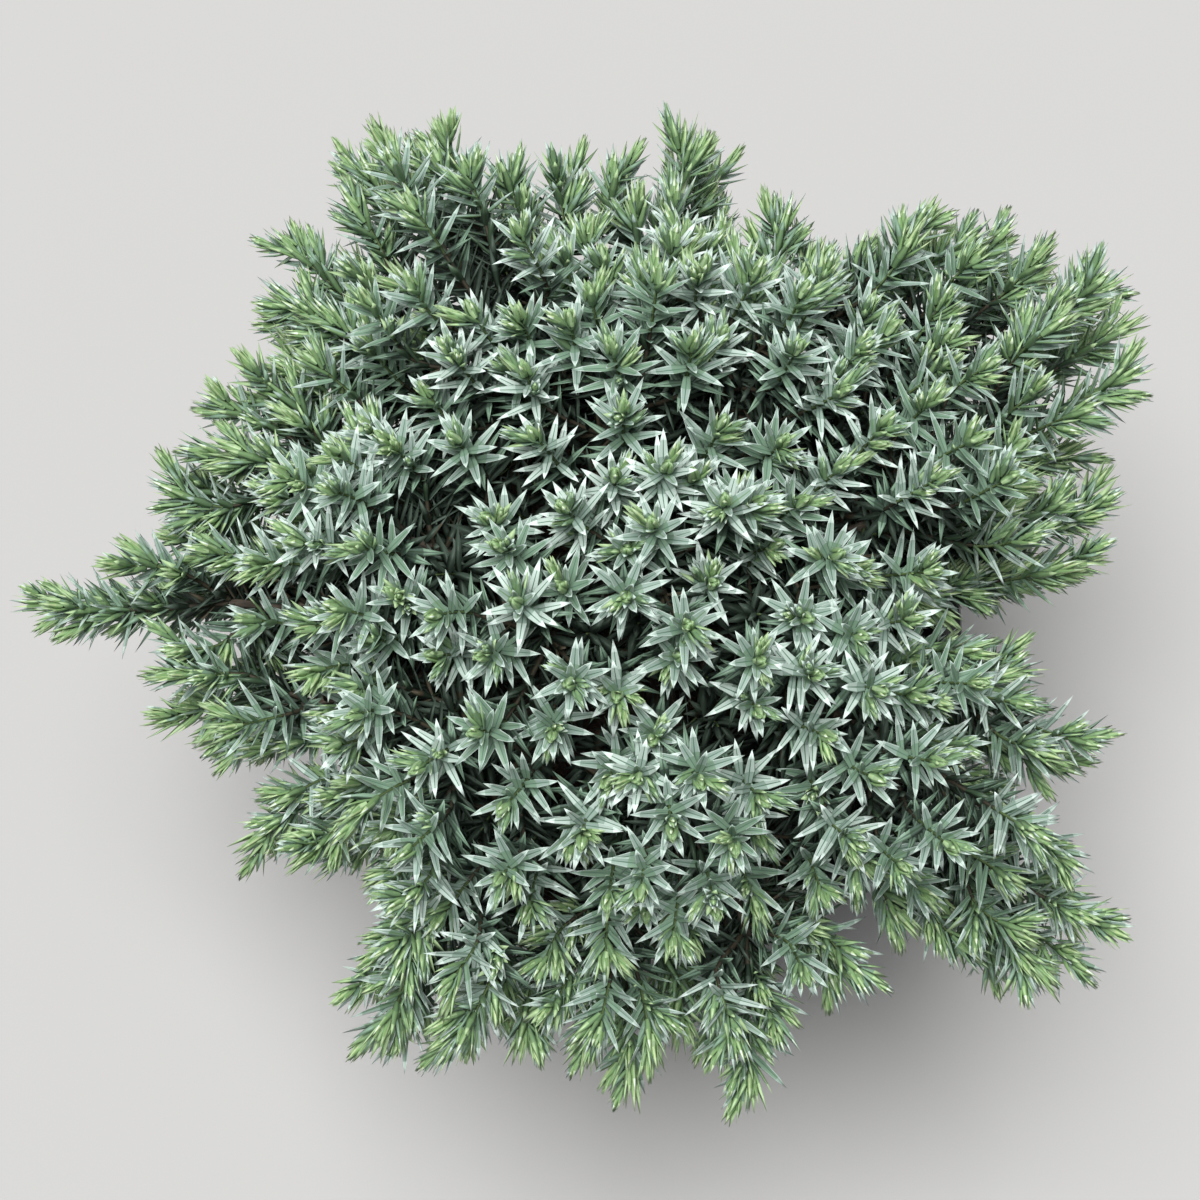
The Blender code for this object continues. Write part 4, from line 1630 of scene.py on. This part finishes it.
class Workbench:
    """Modelling steps with Blender's own operators."""

    @staticmethod
    def clear() -> None:
        """Leaves edit mode with nothing selected."""
        if bpy.context.object and bpy.context.object.mode != "OBJECT":
            bpy.ops.object.mode_set(mode="OBJECT")
        bpy.ops.object.select_all(action="DESELECT")

    @staticmethod
    def pick(obj: bpy.types.Object) -> None:
        """Makes an object the only one selected, and active."""
        Workbench.clear()
        obj.select_set(True)
        bpy.context.view_layer.objects.active = obj

    @staticmethod
    def apply(obj: bpy.types.Object) -> None:
        """Applies an object's modifiers in order."""
        Workbench.pick(obj)
        for modifier in list(obj.modifiers):
            bpy.ops.object.modifier_apply(modifier=modifier.name)

    @staticmethod
    def settle(obj: bpy.types.Object) -> None:
        """Puts an object's place, turn and size into its mesh."""
        Workbench.pick(obj)
        bpy.ops.object.transform_apply(location=True, rotation=True, scale=True)

    @staticmethod
    def extrude(height: float) -> None:
        """Draws what is selected in edit mode up by a height."""
        bpy.ops.mesh.extrude_region_move(TRANSFORM_OT_translate={"value": (0.0, 0.0, height)})

    @staticmethod
    def close() -> None:
        """Turns the faces of a finished mesh outwards and leaves edit mode."""
        bpy.ops.mesh.select_all(action="SELECT")
        bpy.ops.mesh.normals_make_consistent(inside=False)
        bpy.ops.object.mode_set(mode="OBJECT")

    @staticmethod
    def turned(name: str, profile: Sequence[tuple[float, float]], sides: int) -> bpy.types.Object:
        """A turned shape: a disc drawn up through a profile of radius and height, from foot to last face.

        Args:
            name: The object's name.
            profile: Radius and height of each ring.
            sides: How many sides it has.

        Returns:
            The closed object.
        """
        Workbench.clear()
        radius, height = profile[0]
        bpy.ops.mesh.primitive_circle_add(
            vertices=sides, radius=radius, fill_type="NGON", location=(0.0, 0.0, height)
        )
        obj = bpy.context.object
        obj.name = name
        Workbench.settle(obj)
        bpy.ops.object.mode_set(mode="EDIT")
        bpy.ops.mesh.select_all(action="SELECT")
        for next_radius, next_height in profile[1:]:
            Workbench.extrude(next_height - height)
            share = next_radius / radius
            bpy.ops.transform.resize(value=(share, share, 1.0), center_override=(0.0, 0.0, next_height))
            radius, height = next_radius, next_height
        Workbench.close()
        return obj

    @staticmethod
    def limb(name: str, points: Sequence[Vector], radii: Sequence[float], roundness: int) -> bpy.types.Object:
        """A round limb: a path with a radius at each point, made a mesh.

        Args:
            name: The object's name.
            points: The path.
            radii: The radius at each point.
            roundness: The bevel resolution.

        Returns:
            The object.
        """
        Workbench.clear()
        bpy.ops.curve.primitive_nurbs_path_add()
        obj = bpy.context.object
        obj.name = name
        curve = obj.data
        curve.splines.clear()
        spline = curve.splines.new("POLY")
        spline.points.add(len(points) - 1)
        for knot, point, radius in zip(spline.points, points, radii):
            knot.co = (*point, 1.0)
            knot.radius = radius
        curve.dimensions = "3D"
        curve.bevel_depth = 1.0
        curve.bevel_resolution = roundness
        curve.use_fill_caps = True
        bpy.ops.object.convert(target="MESH")
        Workbench.settle(obj)
        Workbench.grain(obj, points)
        return obj

    @staticmethod
    def grain(obj: bpy.types.Object, points: Sequence[Vector], stretch: float = 0.22, steps: int = 240) -> None:
        """Stores at each vertex of a limb its place in the bark, whose fibres run along the limb.

        Args:
            obj: The limb.
            points: The path that it follows.
            stretch: How much slower the pattern changes along the limb than across it.
            steps: How many places along the path are told apart.
        """
        path = np.array([tuple(point) for point in points])
        runs = runs_along(path)
        marks = np.linspace(0.0, runs[-1], steps)
        middle = np.stack([np.interp(marks, runs, path[:, k]) for k in range(3)], axis=1)
        skin = np.empty(3 * len(obj.data.vertices), dtype=np.float32)
        obj.data.vertices.foreach_get("co", skin)
        skin = skin.reshape(-1, 3)
        nearest = np.argmin(((skin[:, None] - middle[None]) ** 2).sum(axis=2), axis=1)
        axis = (path[-1] - path[0]) / np.linalg.norm(path[-1] - path[0])
        places = skin - middle[nearest] + axis * (stretch * marks[nearest])[:, None] + path[-1]
        layer = obj.data.attributes.new("grain", "FLOAT_VECTOR", "POINT")
        layer.data.foreach_set("vector", places.astype(np.float32).ravel())

    @staticmethod
    def roughened(obj: bpy.types.Object, layers: Sequence[tuple[float, float]]) -> None:
        """Gives a mesh a relief of cloudy noise and applies it.

        Args:
            obj: The object.
            layers: Size of the noise and depth of the relief, coarse first.
        """
        for k, (size, depth) in enumerate(layers):
            texture = bpy.data.textures.new(f"{obj.name}_{k}", "CLOUDS")
            texture.noise_scale = size
            texture.noise_depth = 3
            relief = obj.modifiers.new(f"Relief {k}", "DISPLACE")
            relief.texture = texture
            relief.texture_coords = "LOCAL"
            relief.strength = depth
            relief.mid_level = 0.5
        Workbench.apply(obj)

    @staticmethod
    def joined(name: str, objects: Sequence[bpy.types.Object]) -> bpy.types.Object:
        """Joins objects into the first of them.

        Args:
            name: The joined object's name.
            objects: The objects.

        Returns:
            The joined object.
        """
        Workbench.pick(objects[0])
        for obj in objects:
            obj.select_set(True)
        bpy.ops.object.join()
        objects[0].name = name
        return objects[0]

    @staticmethod
    def smooth(obj: bpy.types.Object, degrees: float) -> None:
        """Shades a mesh smooth up to an angle."""
        Workbench.pick(obj)
        bpy.ops.object.shade_smooth_by_angle(angle=math.radians(degrees))


@dataclass
class Wood:
    """The trunk and the boughs, with the relief of their bark."""

    crown: Crown
    flare_ridges: int = 4
    flare_depth: float = 0.16
    flare_height: float = 0.011
    bough_radius: float = 0.0017
    bough_tip_radius: float = 0.0013
    stem_tip_radius: float = 0.0008
    leader_sunk: float = 0.06
    leader_thicker: float = 1.1
    trunk_steps: int = 64
    trunk_roundness: int = 14
    bough_steps: int = 30
    bough_roundness: int = 4
    stem_steps: int = 20
    trunk_relief: Pairs = ((0.0040, 0.0011), (0.0012, 0.0005))
    bough_relief: Pairs = ((0.0022, 0.0005), (0.0008, 0.00025))
    smooth_angle: float = 50

    def build(self, bark: BarkFinish) -> list[bpy.types.Object]:
        """Makes the trunk and the boughs.

        Args:
            bark: Their finish.

        Returns:
            The two pieces.
        """
        material = bark.material()
        trunk = self._trunk()
        boughs = self._boughs()
        for piece in (trunk, boughs):
            piece.data.materials.clear()
            piece.data.materials.append(material)
            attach(piece, "root")
        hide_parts("trunk")
        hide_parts(*(f"bough_{bough.name}" for bough in self.crown.boughs[:-1]))
        return [trunk, boughs]

    def _trunk(self) -> bpy.types.Object:
        """The trunk, flared in ridges at its foot."""
        trunk = self.crown.trunk
        heights = np.linspace(trunk.gap, trunk.height, self.trunk_steps)
        points = [trunk.point(float(height)) for height in heights]
        radii = [trunk.radius(float(height)) for height in heights]
        obj = Workbench.limb("trunk_bark", points, radii, self.trunk_roundness)
        for vert in obj.data.vertices:
            height = vert.co.z - POT.mix_top
            middle = trunk.point(height)
            out = Vector((vert.co.x - middle.x, vert.co.y - middle.y, 0.0))
            wave = math.cos(self.flare_ridges * math.atan2(out.y, out.x))
            vert.co += out * (self.flare_depth * wave * max(0.0, 1 - height / self.flare_height))
        Workbench.roughened(obj, self.trunk_relief)
        Workbench.smooth(obj, self.smooth_angle)
        return obj

    def _boughs(self) -> bpy.types.Object:
        """The boughs, each carried on by its stem."""
        limbs = []
        for bough in self.crown.boughs:
            foot, top = bough.stem_ends()
            stem = [foot.lerp(top, (k + 1) / self.stem_steps) for k in range(self.stem_steps)]
            if bough.name == "leader":
                points = [foot.lerp(top, -self.leader_sunk), foot] + stem
                thickest = self.crown.trunk.radii[-1] * self.leader_thicker
                radii = list(np.linspace(thickest, self.stem_tip_radius, len(points)))
            else:
                path = bough.limb_points(self.crown.trunk, self.bough_steps)
                points = path + stem
                radii = list(np.linspace(self.bough_radius, self.bough_tip_radius, len(path)))
                radii += list(np.linspace(self.bough_tip_radius, self.stem_tip_radius, len(stem)))
            limbs.append(Workbench.limb(f"limb_{bough.name}", points, radii, self.bough_roundness))
        obj = Workbench.joined("boughs_bark", limbs)
        Workbench.roughened(obj, self.bough_relief)
        Workbench.smooth(obj, self.smooth_angle)
        return obj


@dataclass
class Pot:
    """The moulded pot: tapered wall with faint rings, a rim band, a stepped foot and drainage holes."""

    size: PotSize = POT
    sides: int = 112
    rings: tuple[float, ...] = (0.010, 0.088, 0.0905)
    ring_proud: float = 0.0005
    holes: int = 8
    hole_radius: float = 0.0042
    hole_sides: int = 28
    hole_circle: float = 0.62
    smooth_angle: float = 32

    def build(self, finish: PotFinish) -> bpy.types.Object:
        """Makes the pot.

        Args:
            finish: Its finish.

        Returns:
            The piece.
        """
        obj = Workbench.turned("pot_shell", self._profile(), self.sides)
        self._drill(obj)
        Workbench.smooth(obj, self.smooth_angle)
        obj.data.materials.append(finish.material())
        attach(obj, "root")
        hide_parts("pot")
        return obj

    def _profile(self) -> list[tuple[float, float]]:
        """Radius and height of each ring, up the outside, over the rim and down the inside."""
        size = self.size
        wall = size.wall_radius
        foot = size.foot_radius
        band = size.height - size.band_height
        profile = [(foot - 0.0080, 0.0012), (foot - 0.0064, 0.0), (foot - 0.0012, 0.0), (foot - 0.0002, 0.0008)]
        profile.append((wall(0.0040), 0.0040))
        for ring in self.rings:
            even, proud = wall(ring), wall(ring) + self.ring_proud
            profile += [(even, ring), (proud, ring + 0.0006), (proud, ring + 0.0014), (even, ring + 0.0020)]
        rim, top = size.rim_radius, size.height
        inner = rim - size.band_proud - size.wall
        profile += [
            (wall(band), band - 0.0006),
            (rim - 0.0012, band),
            (rim - 0.0003, band + 0.0006),
            (rim - 0.0001, band + 0.0020),
            (rim - 0.0002, top - 0.0034),
            (rim, top - 0.0028),
            (rim, top - 0.0010),
            (rim - 0.0004, top - 0.0003),
            (rim - 0.0011, top),
            (inner + 0.0009, top),
            (inner + 0.0002, top - 0.0004),
            (inner, top - 0.0011),
            (wall(band) - size.wall, band),
            (wall(size.floor) - size.wall, size.floor + 0.001),
            (wall(size.floor) - size.wall - 0.001, size.floor),
        ]
        return profile

    def _drill(self, obj: bpy.types.Object) -> None:
        """Cuts the drainage holes through the floor."""
        Workbench.clear()
        cutters = []
        for k in range(self.holes + 1):
            angle = 2 * math.pi * k / self.holes
            reach = 0.0 if k == self.holes else self.hole_circle * self.size.foot_radius
            place = (reach * math.cos(angle), reach * math.sin(angle), self.size.floor / 2)
            bpy.ops.mesh.primitive_cylinder_add(
                vertices=self.hole_sides, radius=self.hole_radius, depth=4 * self.size.floor, location=place
            )
            cutters.append(bpy.context.object)
        for cutter in cutters:
            Workbench.settle(cutter)
        drill = Workbench.joined("drill", cutters)
        cut = obj.modifiers.new("Holes", "BOOLEAN")
        cut.operation = "DIFFERENCE"
        cut.solver = "EXACT"
        cut.object = drill
        Workbench.apply(obj)
        bpy.data.objects.remove(drill)


# A crumb's corners for a size of 1: four round its middle, four on top and one below
CRUMB_POINTS = (
    (1, 0, 0), (0, 1, 0), (-1, 0, 0), (0, -1, 0), (0.5, 0.5, 0.9),
    (-0.5, 0.5, 0.8), (-0.4, -0.5, 0.9), (0.5, -0.5, 0.8), (0, 0, -0.8),
)
CRUMB_FACES = (
    (0, 1, 4), (1, 2, 5), (1, 5, 4), (2, 3, 6), (2, 6, 5), (3, 0, 7), (3, 7, 6),
    (0, 4, 7), (4, 5, 6), (4, 6, 7), (1, 0, 8), (2, 1, 8), (3, 2, 8), (0, 3, 8),
)


@dataclass
class PottingMix:
    """The potting mix: an uneven surface with crumbs and bits of bark on it."""

    size: PotSize = POT
    slack: float = 0.0005
    collar: float = 0.013
    fall: float = 0.0022
    sunk: float = 0.0004
    depth: float = 0.012
    cells: int = 90
    relief: Pairs = ((0.0090, 0.0022), (0.0028, 0.0016), (0.0010, 0.0007))
    smooth_angle: float = 60
    crumbs: int = 1500
    crumbs_from: float = 0.010
    crumbs_less: float = 0.012
    crumbs_end: float = 0.001
    crumb_sizes: Range = (0.0004, 0.0015)
    crumb_shape: Point = (1.0, 0.85, 0.75)
    crumb_unrest: float = 0.16
    crumb_tilt: float = 0.35
    crumb_lift: float = 0.0006
    chip_share: float = 0.16
    chip_shape: Point = (1.9, 0.9, 0.42)
    pale_share: float = 0.6
    seed: int = 7

    def build(self) -> list[bpy.types.Object]:
        """Makes the mix and its crumbs.

        Returns:
            The two pieces.
        """
        materials = [kind.value.material() for kind in MixKind]
        radius = self.size.wall_radius(self.size.mix_top) - self.size.wall - self.slack
        body = self._body(radius)
        body.data.materials.append(materials[0])
        crumbs = self._crumbs(radius, materials)
        for piece in (body, crumbs):
            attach(piece, "root")
            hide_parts("potting_mix")
        return [body, crumbs]

    def _level(self, across: float, radius: float) -> float:
        """The surface's height at a distance from the middle."""
        outer = max(0.0, (across - self.collar) / (radius - self.collar))
        return self.size.mix_top - self.sunk - self.fall * outer

    def _body(self, radius: float) -> bpy.types.Object:
        """The mix as a closed body with an uneven top."""
        Workbench.clear()
        bpy.ops.mesh.primitive_grid_add(x_subdivisions=self.cells, y_subdivisions=self.cells, size=2.0)
        obj = bpy.context.object
        obj.name = "mix_surface"
        for vert in obj.data.vertices:
            x, y = vert.co.x, vert.co.y
            place = Vector((x * math.sqrt(1 - y * y / 2), y * math.sqrt(1 - x * x / 2), 0.0)) * radius
            vert.co = (place.x, place.y, self._level(place.length, radius))
        Workbench.roughened(obj, self.relief)
        Workbench.pick(obj)
        bpy.ops.object.mode_set(mode="EDIT")
        bpy.ops.mesh.select_all(action="SELECT")
        bpy.ops.mesh.region_to_loop()
        Workbench.extrude(-self.depth)
        bpy.ops.mesh.edge_face_add()
        Workbench.close()
        Workbench.smooth(obj, self.smooth_angle)
        return obj

    def _crumbs(self, radius: float, materials: Materials) -> bpy.types.Object:
        """Crumbs and bits of bark, joined.

        Args:
            radius: The surface's radius.
            materials: The materials of the mix, of crumbs and of bits of bark.

        Returns:
            The object.
        """
        chance = np.random.default_rng(self.seed)
        shape, faces = np.array(CRUMB_POINTS), np.array(CRUMB_FACES)
        joined = JoinedMesh()
        for _ in range(self.crumbs):
            across = self.crumbs_from + (radius - self.crumbs_less) * math.sqrt(chance.random())
            bearing = chance.uniform(0, 2 * math.pi)
            if across > radius - self.crumbs_end:
                continue
            chip = chance.random() < self.chip_share
            scale = np.array(self.chip_shape if chip else self.crumb_shape) * chance.uniform(*self.crumb_sizes)
            lump = (shape + chance.normal(0, self.crumb_unrest, shape.shape)) * scale
            turn = Matrix.Rotation(chance.uniform(0, 6.28), 3, "Z")
            turn = turn @ Matrix.Rotation(chance.normal(0, self.crumb_tilt), 3, "X")
            height = self._level(across, radius) + self.crumb_lift
            place = np.array((across * math.cos(bearing), across * math.sin(bearing), height))
            tone = 2 if chip else int(chance.random() < self.pale_share)
            joined.add(lump @ np.array(turn).T + place, faces, np.full(len(faces), tone))
        return joined.build("mix_crumbs", materials)


# Studio


@dataclass
class Studio:
    """The pale floor, the soft light and the camera."""

    floor_colour: Colour = (0.325, 0.321, 0.314)
    floor_size: float = 40.0
    floor_gap: float = 0.0002
    softness: float = 36.0
    power: float = 6.0
    light_from: Point = (-0.14, 0.12, 1.15)
    sky_colour: Colour = (0.94, 0.965, 1.0)
    sky: Pairs = ((0.0, 0.58), (0.25, 0.43), (0.6, 0.25), (1.0, 0.18))
    target: Point = (-0.0090, 0.0006, 0.150)
    elevation: float = 79.0
    distance: float = 0.50
    half_width: float = 0.1160
    sensor_width: float = 36.0

    def build(self) -> None:
        """Sets up floor, light and camera."""
        bpy.context.scene.view_settings.view_transform = "Standard"
        self._floor()
        self._lights()
        self._camera()

    def _floor(self) -> None:
        """The floor that the pot stands on."""
        Workbench.clear()
        bpy.ops.mesh.primitive_plane_add(size=self.floor_size, location=(0.0, 0.0, -self.floor_gap))
        floor = bpy.context.object
        floor.name = "floor"
        graph = Graph("floor_paint")
        floor.data.materials.append(graph.finish({"Base Color": (*self.floor_colour, 1.0), "Roughness": 0.9}))

    def _lights(self) -> None:
        """A wide soft light from above and the pale sides of the studio all round."""
        light = bpy.data.lights.new("overhead", "SUN")
        light.angle = math.radians(self.softness)
        light.energy = self.power
        obj = placed("overhead", light)
        obj.rotation_euler = (-Vector(self.light_from)).to_track_quat("-Z", "Y").to_euler()
        SkyGraph("studio", self.sky_colour).shade(self.sky)

    def _camera(self) -> None:
        """The camera, above the crown and tilted a little towards it."""
        camera = bpy.data.cameras.new("camera")
        camera.sensor_width = self.sensor_width
        camera.lens = self.sensor_width / 2 * self.distance / self.half_width
        obj = placed("camera", camera)
        rise = math.radians(self.elevation)
        back = Vector((0.0, -math.cos(rise), math.sin(rise)))
        obj.location = Vector(self.target) + back * self.distance
        obj.rotation_euler = (-back).to_track_quat("-Z", "Y").to_euler()
        bpy.context.scene.camera = obj


def write_sizes() -> None:
    """Updates the view layer.
    """
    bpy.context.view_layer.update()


def main() -> None:
    """Builds the classes in order and reports each piece."""
    logging.basicConfig(level=logging.INFO, format="%(message)s")
    crown = Crown()
    tones = [tone.value.material() for tone in TONES]
    pieces = [Pot().build(PotFinish())]
    pieces += PottingMix().build()
    pieces += Wood(crown).build(BarkFinish())
    pieces += Foliage(crown).build(tones)
    Studio().build()
    for piece in pieces:
        LOG.info("%s: %d faces", piece.name, len(piece.data.polygons))
    write_sizes()


if __name__ == "__main__":
    main()
